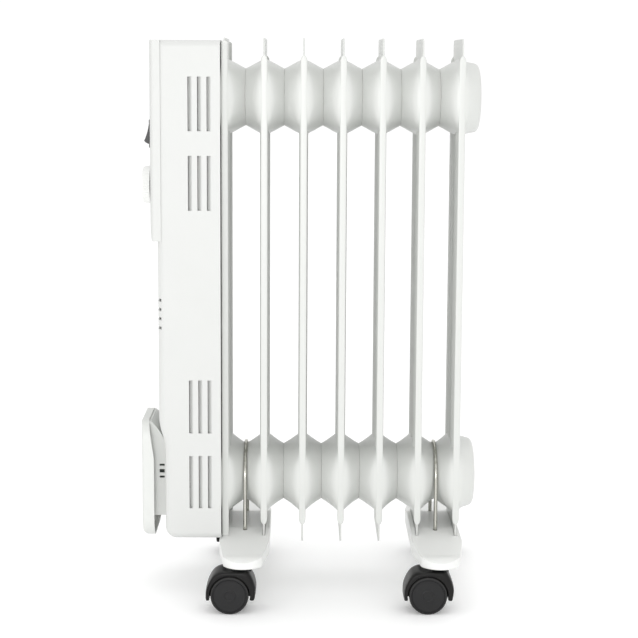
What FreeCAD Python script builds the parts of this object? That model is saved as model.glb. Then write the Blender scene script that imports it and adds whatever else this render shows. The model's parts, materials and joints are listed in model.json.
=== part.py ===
"""Oil filled column heater on four swivel casters.

A row of pressed steel fins is welded together at an upper and a lower header.  A control
housing stands in front of the first fin, two cross feet hang under the lower header on
U-bolts, and each foot rides on two twin-wheel casters.

Frame: millimetres, +Z up, floor at Z = 0, +X from the control housing to the last fin.
The origin is on the floor under the centre of the whole heater.  Right means -Y, the right
hand of a person who faces the controls.
"""
import FreeCAD, Part
import math
import os

from FreeCAD import Vector

os.makedirs("parts", exist_ok=True)

# ---------------------------------------------------------------- driving dimensions (mm)
# fins
fin_count = 7
fin_pitch = 42.0
fin_width = 100.0
fin_height = 548.0
fin_corner = 8.0
sheet = 0.9                # thickness of one pressed sheet; a fin is two of them
edge_band = 7.2            # width of the turned-out side edge, both sheets together
edge_band_corner = 2.6
edge_band_low = 20.5       # plain tongue under the edge band
edge_band_high = 18.3      # plain tongue over the edge band
first_band_trim = 3.0      # the first fin's edge band runs to this far from both ends
first_fin_corner = 2.0

# headers and oil channels pressed into the sheets
header_lift = 68.0         # bottom of the fins up to the axis of the lower header
header_drop = 63.0         # top of the fins down to the axis of the upper header
dish_margin = 3.7          # the dish is cut off this far inside the fin's side edges
dish_root = (84.0, 40.3)   # half axes of the dish where it leaves the flat sheet (Y, Z)
dish_shoulder = (46.0, 35.3)
neck_run = 8.5             # dish's shoulder to the seam between two fins
collar_radius = 31.0       # header neck where two fins meet
collar_bore = 27.0
end_shoulder = (46.5, 37.6)
end_rim = (38.0, 36.4)
end_rim_rise = 19.0
end_face = (30.0, 29.4)
end_rise = 22.5            # blind dish at each end of the row
channel_count = 3
channel_half_width = 9.0
channel_web = 9.2          # flat sheet between two channels
channel_depth = 4.0

# control housing
housing_gap = 4.0          # flat of the first fin to the back plate
housing_depth = 67.0
housing_half_width = 62.0
housing_lift = 16.1        # underside of the feet up to the housing
housing_drop = 3.0         # top of the fins down to the top of the housing
housing_wall = 2.2
housing_edge = 7.0
housing_top_edge = 3.0
housing_foot_edge = 12.0
recess_depth = 6.5         # lower front steps back to make room for the cord
recess_top = 135.4         # above the housing's lower edge
recess_bottom = 95.4
back_plate_thick = 1.0
back_plate_setback = 3.0   # plate inside the housing's rear edge
back_plate_fit = 0.3
louvre_width = 4.2
louvre_gap = 1.2           # air gap left beside each slanted vane
louvre_lean = 3.2          # how far a vane leans into the housing
vane_thick = 1.0
louvre_columns = (16.0, 26.0, 36.0)                     # in front of the first fin
louvre_upper_rows = ((95.0, 38.0), (179.0, 121.0))      # below the housing's top
louvre_lower_rows = ((117.4, 175.4), (34.4, 92.4))      # above its lower edge
corner_slot_drops = (305.0, 295.0, 285.0, 275.0)        # below the housing's top
corner_slot_tall = 3.4
corner_slot_length = 26.0
corner_slot_drop = 2.5

# control panel in front of the upper half of the housing
panel_tall = 212.0
panel_depth = 15.5         # crown of the panel in front of its rear rim
panel_rim_setback = 4.0    # rear rim behind the housing's front face
panel_crown = 5.5          # middle of the panel stands out past its side edges
panel_wall = 2.2
panel_flat = (38.0, 150.0)  # its face is upright between these, above its lower edge
panel_top_lean = 2.3
panel_foot_lean = 4.5

# thermostat and its knob
knob_drop = 156.0          # below the housing's top
knob_radius = 20.5
knob_length = 8.6
knob_gap = 0.4
knob_wall = 2.0
knob_hub_radius = 6.0
shaft_radius = 3.0
bush_radius = 4.5
thermostat_size = 34.0
thermostat_depth = 22.0

# rocker switches
switch_drop = 99.7         # below the housing's top
switch_apart = 2.6         # between the two frames
switch_half_tall = 13.9
switch_half_wide = 7.6
switch_flange = 1.1
switch_flange_thick = 0.6   # the frame stands this proud of the panel
switch_depth = 19.0
switch_wall = 0.9
rocker_side_gap = 0.4
rocker_end_gap = 1.3
rocker_pivot_depth = 5.5   # pivot behind the panel's crown
rocker_tilt = 15.1
rocker_pin_radius = 1.5

# cord winder on the lower front
winder_reach = 23.6        # outermost point in front of the housing's front face
winder_half_width = 45.0
winder_drop = 4.6          # winder's lower edge under the housing
winder_tall = 130.5
winder_crown = 5.0
winder_corner = 20.0
winder_wall = 2.4
winder_rim = 11.5          # depth of the plate's turned-back rim at its side edges
winder_rim_cut = (41.0, 6.0)   # the rim narrows over this height towards the top, by this much
winder_neck_half = 33.0
winder_neck_lift = 23.0    # above the winder's lower edge
neck_slots = ((79.8, 2.2), (73.0, 3.8), (66.4, 2.2))    # (middle above the lower edge, height)
neck_slot_deep = 4.0
neck_slot_long = 5.5

# cord inlet
gland_lift = 31.4          # above the housing's lower edge
gland_radius = 6.5
gland_bore = 3.6
gland_flange_radius = 9.5
gland_flange_thick = 3.0
gland_setback = 40.0

# heating element in the lower header
bushing_bore = 20.0
bushing_wall = 6.0
bushing_length = 7.0
plug_shoulder = 3.0        # plug head's flats past the bore, each side
plug_head = 8.0
gasket_thick = 1.5
tube_radius = 4.0
tube_length = 228.0
tube_half_pitch = 8.0
tube_offset = 8.5
bead_length = 5.0
pin_radius = 1.5
pin_length = 14.0

# feet
foot_tall = 20.5
foot_tip_tall = 6.5
foot_shoulder_tall = 10.5
fin_seat = 8.5             # fins rest this far above the foot's underside
foot_half_length = 118.0
foot_margin = 6.0          # foot past the fins it carries
foot_flank_margin = 3.0    # past this the outboard flank is low enough to clear the housing
foot_nose_half = 20.5
foot_straight = 62.0
foot_nose_start = 106.0
foot_flat = 32.0
foot_wall = 3.0
slot_clear = 0.4
rail_wall = 2.2
ubolt_wire = 2.0
ubolt_room = 3.2           # wire to the narrowest part of the header, at its sides
ubolt_lift = 3.0           # wire's ends above the foot's underside
ubolt_boss = 6.0
wing_nut_radius = 4.6
wing_nut_height = 5.0
wing_span = 10.0
wing_thick = 1.6

# casters
caster_offset = 102.5      # stem from the heater's centre plane
caster_trail = 13.5
turned_caster = "caster_rear_left"   # rests half a turn round from the others
wheel_radius = 20.2
wheel_width = 14.0
wheel_room = 1.5           # radial, wheel to hood
hood_wall = 3.9
wheel_proud = 0.7          # wheel's outer face past the hood's edge
hood_web = 5.0
hood_clear = 2.7           # fender's rim to the foot
hood_bulge = 2.4           # front of the hood stands out past its back
hood_round = 2.5
hood_lip = 15.2            # floor to the lower edge of the hood
neck_radius = 7.5
stem_radius = 4.0
stem_depth = 9.0           # stem's length inside the hood's neck
axle_radius = 2.5
wheel_cap = 2.0

# clearances
touch_gap = 0.3            # between faces of pieces that move past each other
running_gap = 0.06         # radial, shaft in bore
snug_gap = 0.02            # radial, pressed or screwed together
side_gap = 0.5             # wheel to hood web
hole_gap = 0.35            # bolt or plug in a plain hole

# ---------------------------------------------------------------- places worked out from these
front_reach = housing_gap + housing_depth + winder_reach
row_length = front_reach + (fin_count - 1) * fin_pitch + end_rise
axle_z = wheel_radius
hood_inner = wheel_radius + wheel_room
hood_outer = hood_inner + hood_wall
hood_half_width = hood_web / 2 + side_gap + wheel_width - wheel_proud
foot_base = axle_z + hood_outer + hood_clear
foot_half_width = fin_pitch / 2 + foot_margin
foot_flank_step = fin_pitch / 2 + foot_flank_margin
foot_top = foot_base + foot_tall
foot_tip = foot_base + foot_tip_tall
foot_shoulder = foot_base + foot_shoulder_tall
fin_bottom = foot_base + fin_seat
header_low = fin_bottom + header_lift
housing_low = foot_base + housing_lift
dish_length = fin_width - 2 * dish_margin
dish_shoulder_rise = fin_pitch / 2 - neck_run
channel_spacing = 2 * (channel_half_width + sheet) + channel_web
bushing_radius = bushing_bore + bushing_wall
plug_flats = 2 * (bushing_bore + plug_shoulder)
ubolt_radius = collar_radius + ubolt_wire + ubolt_room
ubolt_end = foot_base + ubolt_lift
winder_low = housing_low - winder_drop
winder_high = winder_low + winder_tall
winder_neck_low = winder_low + winder_neck_lift
gland_height = housing_low + gland_lift
switch_spacing = 2 * (switch_half_wide + switch_flange) + switch_apart
rocker_half_wide = switch_half_wide - switch_wall - rocker_side_gap
rocker_half_tall = switch_half_tall - rocker_end_gap
fin_x = [-row_length / 2 + front_reach + i * fin_pitch for i in range(fin_count)]
fin_top = fin_bottom + fin_height
header_high = fin_top - header_drop
housing_high = fin_top - housing_drop
panel_low = housing_high - panel_tall
knob_height = housing_high - knob_drop
switch_height = housing_high - switch_drop
recess_high_z = housing_low + recess_top
recess_low_z = housing_low + recess_bottom
louvre_rows = [(housing_high - a, housing_high - b) for a, b in louvre_upper_rows]
louvre_rows += [(housing_low + a, housing_low + b) for a, b in louvre_lower_rows]
back_x = fin_x[0] - housing_gap
front_x = back_x - housing_depth
plate_rear = back_x - back_plate_setback
plate_front = plate_rear - back_plate_thick
panel_rim_x = front_x + panel_rim_setback
panel_x = panel_rim_x - panel_depth
foot_x = [(fin_x[0] + fin_x[1]) / 2, (fin_x[-2] + fin_x[-1]) / 2]

X = Vector(1, 0, 0)
Y = Vector(0, 1, 0)
Z = Vector(0, 0, 1)


# ---------------------------------------------------------------- shape helpers
def box(x, y, z):
    """A box from three (low, high) pairs."""
    return Part.makeBox(x[1] - x[0], y[1] - y[0], z[1] - z[0], Vector(x[0], y[0], z[0]))


def rod(radius, start, axis, length):
    return Part.makeCylinder(radius, length, Vector(*start), axis)


def ring(outer, inner, start, axis, length):
    return rod(outer, start, axis, length).cut(rod(inner, start, axis, length))


def line(a, b):
    return Part.LineSegment(a, b).toShape()


def arc(a, b, c):
    """An arc from a through b to c."""
    return Part.Arc(a, b, c).toShape()


def prism(edges, sweep):
    """The solid swept by the closed outline of some edges."""
    return Part.Face(Part.Wire(Part.__sortEdges__(edges))).extrude(sweep)


def outline_prism(points, sweep):
    return Part.Face(Part.makePolygon(points + points[:1])).extrude(sweep)


def side_fillet(solid, radius, along, keep=lambda edge: True):
    """Rounds the straight edges that run along one direction."""
    picked = []
    for edge in solid.Edges:
        if edge.Curve.TypeId != "Part::GeomLine":
            continue
        if abs(edge.tangentAt(edge.FirstParameter).dot(along)) > 0.999 and keep(edge):
            picked.append(edge)
    return solid.makeFillet(radius, picked)


def fuse(first, others):
    return first.fuse(list(others)).removeSplitter()


def save(name, *solids):
    """Writes one node; several solids make a group."""
    flat = [s for solid in solids for s in solid.Solids]
    shape = flat[0] if len(flat) == 1 else Part.makeCompound(flat)
    if not all(s.isValid() for s in flat):
        print("NOT VALID", name)
    shape.exportStep(f"parts/{name}.step")


# ---------------------------------------------------------------- fins
def ellipse(rise, half_axes, height):
    """An upright ellipse in a plane across X, its long axis along Y."""
    curve = Part.Ellipse(Vector(0, 0, 0), half_axes[0], half_axes[1]).toShape()
    wire = Part.Wire([curve])
    wire.Placement = FreeCAD.Placement(
        Vector(rise, 0, height), FreeCAD.Rotation(Y, Z, X, "XYZ")
    )
    return wire


def dish(sections, height, inset):
    """A pressed dish through (rise, half axes) sections, drawn smaller all round by inset."""
    wires = []
    for i, (rise, (half_y, half_z)) in enumerate(sections):
        level = rise - inset if i else -inset
        wires.append(ellipse(level, (half_y - inset, half_z - inset), height))
    solid = Part.makeLoft(wires, True, True)
    half = dish_length / 2 - inset
    return solid.common(box((-inset, end_rise + 1), (-half, half), (0, fin_top)))


neck_sections = [
    (0.0, dish_root),
    (dish_shoulder_rise, dish_shoulder),
    (fin_pitch / 2, (collar_radius, collar_radius)),
]
end_sections = [
    (0.0, dish_root),
    (dish_shoulder_rise, end_shoulder),
    (end_rim_rise, end_rim),
    (end_rise, end_face),
]


def channel(centre, inset):
    """One upright oil channel between the headers."""
    half = channel_half_width + sheet - inset
    rise = channel_depth + sheet - inset
    a = Vector(0, centre - half, header_low)
    b = Vector(rise, centre, header_low)
    c = Vector(0, centre + half, header_low)
    return prism([arc(a, b, c), line(c, a)], Vector(0, 0, header_high - header_low))


def edge_strip(side, low, high):
    """The side edge of a sheet, turned out at a right angle."""
    y = sorted((side * (fin_width / 2 - sheet), side * fin_width / 2))
    strip = box((0, edge_band / 2), y, (fin_bottom + low, fin_top - high))
    return side_fillet(strip, edge_band_corner, Y, lambda e: e.BoundBox.XMin > 1)


def pressed_sheet(sections, low_hole=0.0, high_hole=0.0, first=False):
    """One sheet, its flat at X = 0 to sheet and its dishes rising towards +X."""
    half = fin_width / 2
    corner = first_fin_corner if first else fin_corner
    band = (first_band_trim, first_band_trim) if first else (edge_band_low, edge_band_high)
    flat = side_fillet(box((0, sheet), (-half, half), (fin_bottom, fin_top)), corner, X)
    middle = (channel_count - 1) / 2
    rows = [(i - middle) * channel_spacing for i in range(channel_count)]
    outside = [dish(sections, h, 0.0) for h in (header_low, header_high)]
    outside += [channel(y, 0.0) for y in rows]
    outside += [edge_strip(side, *band) for side in (-1, 1)]
    inside = [dish(sections, h, sheet) for h in (header_low, header_high)]
    inside += [channel(y, sheet) for y in rows]
    for hole, height in ((low_hole, header_low), (high_hole, header_high)):
        if hole:
            inside.append(rod(hole, (0, 0, height), X, end_rise + 1))
    body = fuse(flat, outside)
    for cutter in inside:
        body = body.cut(cutter)
    return body


def facing_front(shape):
    return shape.mirror(Vector(0, 0, 0), X)


def at(shape, x=0.0, y=0.0, z=0.0):
    moved = shape.copy()
    moved.translate(Vector(x, y, z))
    return moved


neck_sheet = pressed_sheet(neck_sections, collar_bore, collar_bore)
blind_sheet = pressed_sheet(end_sections)
element_sheet = pressed_sheet(end_sections, bushing_bore + hole_gap, first=True)
first_neck_sheet = pressed_sheet(neck_sections, collar_bore, collar_bore, first=True)
for i, x in enumerate(fin_x):
    front = facing_front(neck_sheet if i else element_sheet)
    rear = first_neck_sheet if i == 0 else neck_sheet if i < fin_count - 1 else blind_sheet
    save(f"fin_{i + 1}", at(front, x), at(rear, x))


# ---------------------------------------------------------------- heating element
bushing_x = fin_x[0] - end_rise
save(
    "element_bushing",
    ring(bushing_radius, bushing_bore, (bushing_x, 0, header_low), -X, bushing_length),
)
gasket_x = bushing_x - bushing_length
save(
    "element_gasket",
    ring(plug_flats / 2, bushing_bore + hole_gap, (gasket_x, 0, header_low), -X, gasket_thick),
)


def hexagon(flats, start, axis, length):
    """A hexagonal prism across X."""
    radius = flats / 2 / math.cos(math.pi / 6)
    points = []
    for k in range(6):
        angle = math.radians(60 * k + 30)
        points.append(
            Vector(start[0], start[1] + radius * math.cos(angle), start[2] + radius * math.sin(angle))
        )
    return outline_prism(points, axis * length)


head_x = gasket_x - gasket_thick
plug = fuse(
    hexagon(plug_flats, (head_x, 0, header_low), -X, plug_head),
    [rod(bushing_bore - 2 * snug_gap, (head_x, 0, header_low), X, bushing_length + gasket_thick)],
)
tube_legs = [(y, z) for y in (-tube_offset, tube_offset) for z in (-tube_half_pitch, tube_half_pitch)]
for y, z in tube_legs:
    bore = rod(tube_radius + snug_gap, (head_x - plug_head, y, header_low + z), X, 40)
    plug = plug.cut(bore)
save("element_plug", plug)


def hairpin(y):
    """A heating tube bent back on itself in the upright plane."""
    start = head_x - plug_head
    bend = start + tube_length
    low, high = header_low - tube_half_pitch, header_low + tube_half_pitch
    path = Part.Wire(
        [
            line(Vector(start, y, low), Vector(bend, y, low)),
            arc(
                Vector(bend, y, low),
                Vector(bend + tube_half_pitch, y, header_low),
                Vector(bend, y, high),
            ),
            line(Vector(bend, y, high), Vector(start, y, high)),
        ]
    )
    section = Part.Wire([Part.Circle(Vector(start, y, low), X, tube_radius).toShape()])
    return path.makePipeShell([section], True, False)


save("heating_tube_low_power", hairpin(-tube_offset))
save("heating_tube_high_power", hairpin(tube_offset))
tube_end = head_x - plug_head
beads = []
pins = []
for y, z in tube_legs:
    start = (tube_end, y, header_low + z)
    beads.append(ring(tube_radius, pin_radius + snug_gap, start, -X, bead_length))
    pins.append(rod(pin_radius, start, -X, pin_length))
save("element_beads", *beads)
save("element_pins", *pins)


# ---------------------------------------------------------------- control housing
def housing_body(inset):
    """The housing's outer form, drawn smaller all round by inset and run out at the back."""
    x0, x1 = front_x + inset, back_x
    low, high = housing_low + inset, housing_high - inset
    half = housing_half_width - inset
    step = x0 + recess_depth
    middle = (recess_high_z + recess_low_z) / 2
    quarter = (recess_high_z - middle) / 2
    lean = recess_depth * 0.125
    foot_r = housing_foot_edge - inset
    top_r = max(housing_top_edge - inset, 0.5)

    def p(x, z):
        return Vector(x, -half, z)

    edges = [
        line(p(x1, high), p(x0 + top_r, high)),
        arc(
            p(x0 + top_r, high),
            p(x0 + top_r * (1 - math.sqrt(0.5)), high - top_r * (1 - math.sqrt(0.5))),
            p(x0, high - top_r),
        ),
        line(p(x0, high - top_r), p(x0, recess_high_z)),
        arc(p(x0, recess_high_z), p(x0 + lean, middle + quarter), p(x0 + recess_depth / 2, middle)),
        arc(
            p(x0 + recess_depth / 2, middle),
            p(step - lean, middle - quarter),
            p(step, recess_low_z),
        ),
        line(p(step, recess_low_z), p(step, low + foot_r)),
        arc(
            p(step, low + foot_r),
            p(step + foot_r * (1 - math.sqrt(0.5)), low + foot_r * (1 - math.sqrt(0.5))),
            p(step + foot_r, low),
        ),
        line(p(step + foot_r, low), p(x1, low)),
        line(p(x1, low), p(x1, high)),
    ]
    solid = prism(edges, Vector(0, 2 * half, 0))
    corners = [
        e
        for e in solid.Edges
        if e.BoundBox.YLength < 0.01 and e.BoundBox.XMax < x1 - 0.5 and e.BoundBox.ZMin < high - 5
        and not (e.BoundBox.ZLength < 0.01 and e.BoundBox.ZMin > high - 1)
        or (e.BoundBox.YLength < 0.01 and e.BoundBox.ZMax < low + 0.01 and e.BoundBox.XLength > 5)
    ]
    return solid.makeFillet(housing_edge - inset, corners)


shell = housing_body(0.0).cut(housing_body(housing_wall))
shell = shell.cut(
    box((front_x - 1, panel_rim_x), (-housing_half_width - 1, housing_half_width + 1),
        (panel_low, housing_high + 1))
)


def louvre_vane(x, low, high, side):
    """A slanted slat from the rear edge of a slot, in front of the housing's dark inside."""
    outer = housing_half_width - 0.3
    front, back = x - louvre_width / 2 + louvre_gap, x + louvre_width / 2
    points = [
        Vector(back + 0.8, side * outer, low - 0.5),
        Vector(back - 0.4, side * outer, low - 0.5),
        Vector(front, side * (outer - louvre_lean), low - 0.5),
        Vector(front, side * (outer - louvre_lean - vane_thick), low - 0.5),
        Vector(back + 0.8, side * (outer - vane_thick - 0.3), low - 0.5),
    ]
    return outline_prism(points, Vector(0, 0, high - low + 1))


vanes = []
for low, high in louvre_rows:
    for setback in louvre_columns:
        x = fin_x[0] - setback
        shell = shell.cut(
            box((x - louvre_width / 2, x + louvre_width / 2),
                (-housing_half_width - 1, housing_half_width + 1), (low, high))
        )
        vanes += [louvre_vane(x, low, high, side) for side in (-1, 1)]
shell = fuse(shell, vanes)
for drop in corner_slot_drops:
    height = housing_high - drop
    for side in (-1, 1):
        y0 = side * (housing_half_width - corner_slot_length)
        y1 = side * (housing_half_width + 1)
        points = [
            Vector(front_x - 1, y0, height + corner_slot_drop),
            Vector(front_x - 1, y1, height - corner_slot_drop),
            Vector(front_x - 1, y1, height - corner_slot_drop + corner_slot_tall),
            Vector(front_x - 1, y0, height + corner_slot_drop + corner_slot_tall),
        ]
        shell = shell.cut(outline_prism(points, Vector(1 + housing_wall + 1.5, 0, 0)))
gland_x = back_x - gland_setback
shell = shell.cut(
    rod(gland_radius + hole_gap, (gland_x, housing_half_width - 10, gland_height), Y, 20)
)

plate_inset = housing_wall + back_plate_fit
plate_half = housing_half_width - plate_inset
back_plate = side_fillet(
    box((plate_front, plate_rear), (-plate_half, plate_half),
        (housing_low + plate_inset, housing_high - plate_inset)),
    housing_edge - housing_wall, X,
)
for height in (header_low, header_high):
    hole = box((plate_front - 4, plate_rear + 4), (-dish_length / 2 - 1.2, dish_length / 2 + 1.2),
               (height - dish_root[1] - 1.2, height + dish_root[1] + 1.2))
    back_plate = back_plate.cut(side_fillet(hole, 14.0, X))

# studs welded to the first fin carry the back plate
stud_radius = 2.0
stud_places = [(y, z) for y in (-channel_spacing / 2, channel_spacing / 2) for z in (header_low + 80, header_high - 80)]
stud_length = 14.0
stud_start = fin_x[0] - sheet
nut_flats = 7.0
nut_height = 3.2
studs = []
nuts = []
spacers = []
for y, z in stud_places:
    studs.append(rod(stud_radius, (stud_start, y, z), -X, stud_length))
    back_plate = back_plate.cut(rod(stud_radius + hole_gap, (plate_rear + 1, y, z), -X, 5))
    nut = hexagon(nut_flats, (plate_front, y, z), -X, nut_height)
    nuts.append(nut.cut(rod(stud_radius + snug_gap, (plate_rear, y, z), -X, 8)))
    spacers.append(
        ring(stud_radius + 2, stud_radius + snug_gap, (stud_start, y, z), -X,
             stud_start - plate_rear)
    )
save("mount_studs", *studs)
save("mount_nuts", *nuts)
save("mount_spacers", *spacers)

# screws hold the back plate to bosses inside the housing's side walls
screw_radius = 1.6
screw_length = 10.0
screw_head = 3.0
screw_heights = (housing_low + 106, (housing_low + housing_high) / 2, housing_high - 101)
screw_y = housing_half_width - housing_wall - 4.5
screws = []
for side in (-1, 1):
    for z in screw_heights:
        y = side * screw_y
        boss = box((plate_front - 22, plate_front),
                   tuple(sorted((side * (screw_y - 3.5), side * (housing_half_width - 1)))),
                   (z - 3.5, z + 3.5))
        shell = fuse(shell, [boss])
        shell = shell.cut(rod(screw_radius + snug_gap, (plate_rear, y, z), -X, screw_length + 2))
        back_plate = back_plate.cut(rod(screw_radius + hole_gap, (plate_rear + 1, y, z), -X, 5))
        shank = rod(screw_radius, (plate_rear, y, z), -X, screw_length)
        screws.append(fuse(shank, [rod(screw_head, (plate_rear, y, z), X, 1.6)]))
save("housing_screws", *screws)
save("back_plate", back_plate)


# ---------------------------------------------------------------- cord winder
winder_x = front_x - winder_reach
neck_x = front_x + recess_depth


def winder_cap(inset):
    """The crowned plate, drawn smaller all round by inset and left open at the back."""
    half = winder_half_width - inset
    low, high = winder_low + inset, winder_high - inset
    crown = winder_x + inset
    edge = crown + winder_crown
    rim = winder_x + winder_crown + winder_rim
    bend = winder_high - winder_rim_cut[0]
    top_rim = rim - winder_rim_cut[1] * (high - bend) / winder_rim_cut[0]

    def p(x, y):
        return Vector(x, y, low)

    plan = prism(
        [
            line(p(rim, -half), p(edge, -half)),
            arc(p(edge, -half), p(crown, 0), p(edge, half)),
            line(p(edge, half), p(rim, half)),
            line(p(rim, half), p(rim, -half)),
        ],
        Vector(0, 0, high - low),
    )
    corner = winder_corner - inset
    front = side_fillet(
        box((crown - 1, rim), (-half, half), (low, high)), corner, X
    )

    def q(x, z):
        return Vector(x, -half - 1, z)

    side = prism(
        [
            line(q(top_rim, high), q(crown + 3.4, high)),
            arc(q(crown + 3.4, high), q(crown + 2.0, high - 2), q(crown + 1.6, high - 8)),
            arc(q(crown + 1.6, high - 8), q(crown, (low + high) / 2), q(crown + 2.2, low + 20)),
            arc(q(crown + 2.2, low + 20), q(crown + 4.6, low + 7), q(crown + 9.5, low)),
            line(q(crown + 9.5, low), q(rim, low)),
            line(q(rim, low), q(rim, bend)),
            line(q(rim, bend), q(top_rim, high)),
        ],
        Vector(0, 2 * half + 2, 0),
    )
    return plan.common(front).common(side)


cap_back = winder_x + winder_crown + winder_rim
winder = winder_cap(0.0).cut(winder_cap(winder_wall))
neck_high = winder_high - 2.0
neck_edges = [
    line(Vector(cap_back - 9, 0, winder_neck_low), Vector(neck_x, 0, winder_neck_low)),
    line(Vector(neck_x, 0, winder_neck_low), Vector(neck_x, 0, recess_low_z - 2)),
    arc(
        Vector(neck_x, 0, recess_low_z - 2),
        Vector(cap_back + 4.0, 0, neck_high - 9),
        Vector(cap_back - 4, 0, neck_high),
    ),
    line(Vector(cap_back - 4, 0, neck_high), Vector(cap_back - 9, 0, neck_high)),
    line(Vector(cap_back - 9, 0, neck_high), Vector(cap_back - 9, 0, winder_neck_low)),
]
neck = at(prism(neck_edges, Vector(0, 2 * winder_neck_half, 0)), 0, -winder_neck_half, 0)
winder = fuse(winder, [neck])
for lift, tall in neck_slots:
    middle = winder_low + lift
    for side in (-1, 1):
        y = sorted((side * (winder_neck_half - neck_slot_deep), side * (winder_neck_half + 1)))
        slot_front = neck_x - 3 - neck_slot_long
        winder = winder.cut(box((slot_front, neck_x - 3), y, (middle - tall / 2, middle + tall / 2)))
winder_screw_heights = (winder_neck_low + 19, winder_neck_low + 65)
winder_screw_y = 18.0
winder_screws = []
for y in (-winder_screw_y, winder_screw_y):
    for z in winder_screw_heights:
        winder = winder.cut(rod(screw_radius + snug_gap, (neck_x, y, z), -X, screw_length))
        shell = shell.cut(rod(screw_radius + hole_gap, (neck_x - 1, y, z), X, 6))
        inside = neck_x + housing_wall
        shank = rod(screw_radius, (inside, y, z), -X, screw_length)
        winder_screws.append(fuse(shank, [rod(screw_head, (inside, y, z), X, 1.8)]))
save("winder_screws", *winder_screws)
save("cord_winder", winder)


# ---------------------------------------------------------------- control panel
def panel_body(inset):
    """The crowned panel, drawn smaller all round by inset and run out at its rear rim."""
    half = housing_half_width - inset
    low, high = panel_low + inset, housing_high - inset
    flat_low, flat_high = (panel_low + z for z in panel_flat)
    crown = panel_x + inset
    side = crown + panel_crown
    rim = panel_rim_x

    def p(x, y):
        return Vector(x, y, low)

    def q(x, z):
        return Vector(x, -half - 1, z)

    plan = prism(
        [
            line(p(rim, -half), p(side + 2.5, -half)),
            arc(p(side + 2.5, -half), p(side + 0.9, -half + 0.6), p(side, -half + 2.5)),
            arc(p(side, -half + 2.5), p(crown, 0), p(side, half - 2.5)),
            arc(p(side, half - 2.5), p(side + 0.9, half - 0.6), p(side + 2.5, half)),
            line(p(side + 2.5, half), p(rim, half)),
            line(p(rim, half), p(rim, -half)),
        ],
        Vector(0, 0, high - low),
    )
    profile = prism(
        [
            line(q(rim, high), q(crown + panel_top_lean + 1.5, high)),
            arc(
                q(crown + panel_top_lean + 1.5, high),
                q(crown + panel_top_lean + 0.4, high - 0.4),
                q(crown + panel_top_lean, high - 1.6),
            ),
            arc(
                q(crown + panel_top_lean, high - 1.6),
                q(crown + panel_top_lean * 0.25, (high + flat_high) / 2),
                q(crown, flat_high),
            ),
            line(q(crown, flat_high), q(crown, flat_low)),
            arc(
                q(crown, flat_low),
                q(crown + panel_foot_lean * 0.25, (low + 3 + flat_low) / 2),
                q(crown + panel_foot_lean, low + 3),
            ),
            arc(
                q(crown + panel_foot_lean, low + 3),
                q(crown + panel_foot_lean + 0.8, low + 0.8),
                q(crown + panel_foot_lean + 3, low),
            ),
            line(q(crown + panel_foot_lean + 3, low), q(rim, low)),
            line(q(rim, low), q(rim, high)),
        ],
        Vector(0, 2 * half + 2, 0),
    )
    return plan.common(profile)


panel = panel_body(0.0).cut(panel_body(panel_wall))
switch_places = (-switch_spacing / 2, switch_spacing / 2)
for y in switch_places:
    panel = panel.cut(
        box((panel_x - 2, panel_x + 8),
            (y - switch_half_wide - 0.1, y + switch_half_wide + 0.1),
            (switch_height - switch_half_tall - 0.1, switch_height + switch_half_tall + 0.1))
    )
panel = panel.cut(rod(bush_radius + hole_gap, (panel_x - 2, 0, knob_height), X, 10))

# bosses behind the panel, screwed from inside the housing
panel_boss = 4.5
panel_screw_places = [(y, z) for y in (-46.0, 46.0) for z in (panel_low + 14, housing_high - 17)]
panel_screws = []
for y, z in panel_screw_places:
    boss = rod(panel_boss, (panel_rim_x, y, z), -X, 10)
    panel = fuse(panel, [boss])
    panel = panel.cut(rod(screw_radius + snug_gap, (panel_rim_x + 1, y, z), -X, 7))
    bridge = box((panel_rim_x, panel_rim_x + 2.4),
                 tuple(sorted((math.copysign(39, y), math.copysign(housing_half_width - 1, y)))),
                 (z - 6, z + 6))
    shell = fuse(shell, [bridge])
    shell = shell.cut(rod(screw_radius + hole_gap, (panel_rim_x - 1, y, z), X, 6))
    shank = rod(screw_radius, (panel_rim_x + 2.4, y, z), -X, 8)
    panel_screws.append(fuse(shank, [rod(screw_head, (panel_rim_x + 2.4, y, z), X, 1.8)]))
save("panel_screws", *panel_screws)
save("housing", shell)
save("control_panel", panel)


# ---------------------------------------------------------------- thermostat and knob
thermostat_x = panel_x + panel_wall + 2 * touch_gap
body_half = thermostat_size / 2
thermostat = box((thermostat_x, thermostat_x + thermostat_depth), (-body_half, body_half),
                 (knob_height - body_half, knob_height + body_half))
thermostat = side_fillet(thermostat, 3.0, X)
bush_front = panel_x - knob_gap - 1.5
thermostat = fuse(
    thermostat,
    [rod(bush_radius, (bush_front, 0, knob_height), X, thermostat_x - bush_front + 1)],
)
shaft_back = thermostat_x + thermostat_depth - 3
knob_back = panel_x - knob_gap
knob_front = knob_back - knob_length
shaft_front = knob_front + knob_wall + 1.0
thermostat = thermostat.cut(
    rod(shaft_radius + running_gap, (bush_front - 1, 0, knob_height), X,
        shaft_back - bush_front + 1 + touch_gap)
)
save("thermostat", thermostat)
save(
    "thermostat_shaft",
    rod(shaft_radius, (shaft_front, 0, knob_height), X, shaft_back - shaft_front),
)
knob = rod(knob_radius, (knob_front, 0, knob_height), X, knob_length)
knob = knob.makeFillet(1.6, [e for e in knob.Edges if e.BoundBox.XMax < knob_front + 0.1])
hollow = ring(
    knob_radius - knob_wall, knob_hub_radius, (knob_front + knob_wall, 0, knob_height), X,
    knob_length,
)
bush_room = rod(bush_radius + 0.6, (bush_front - touch_gap - 0.3, 0, knob_height), X, 5)
hub_bore = rod(shaft_radius + snug_gap, (shaft_front - 0.2, 0, knob_height), X, knob_length)
knob = knob.cut(hollow).cut(bush_room).cut(hub_bore)
save("thermostat_knob", knob)


# ---------------------------------------------------------------- rocker switches
pivot_x = panel_x + rocker_pivot_depth


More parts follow.
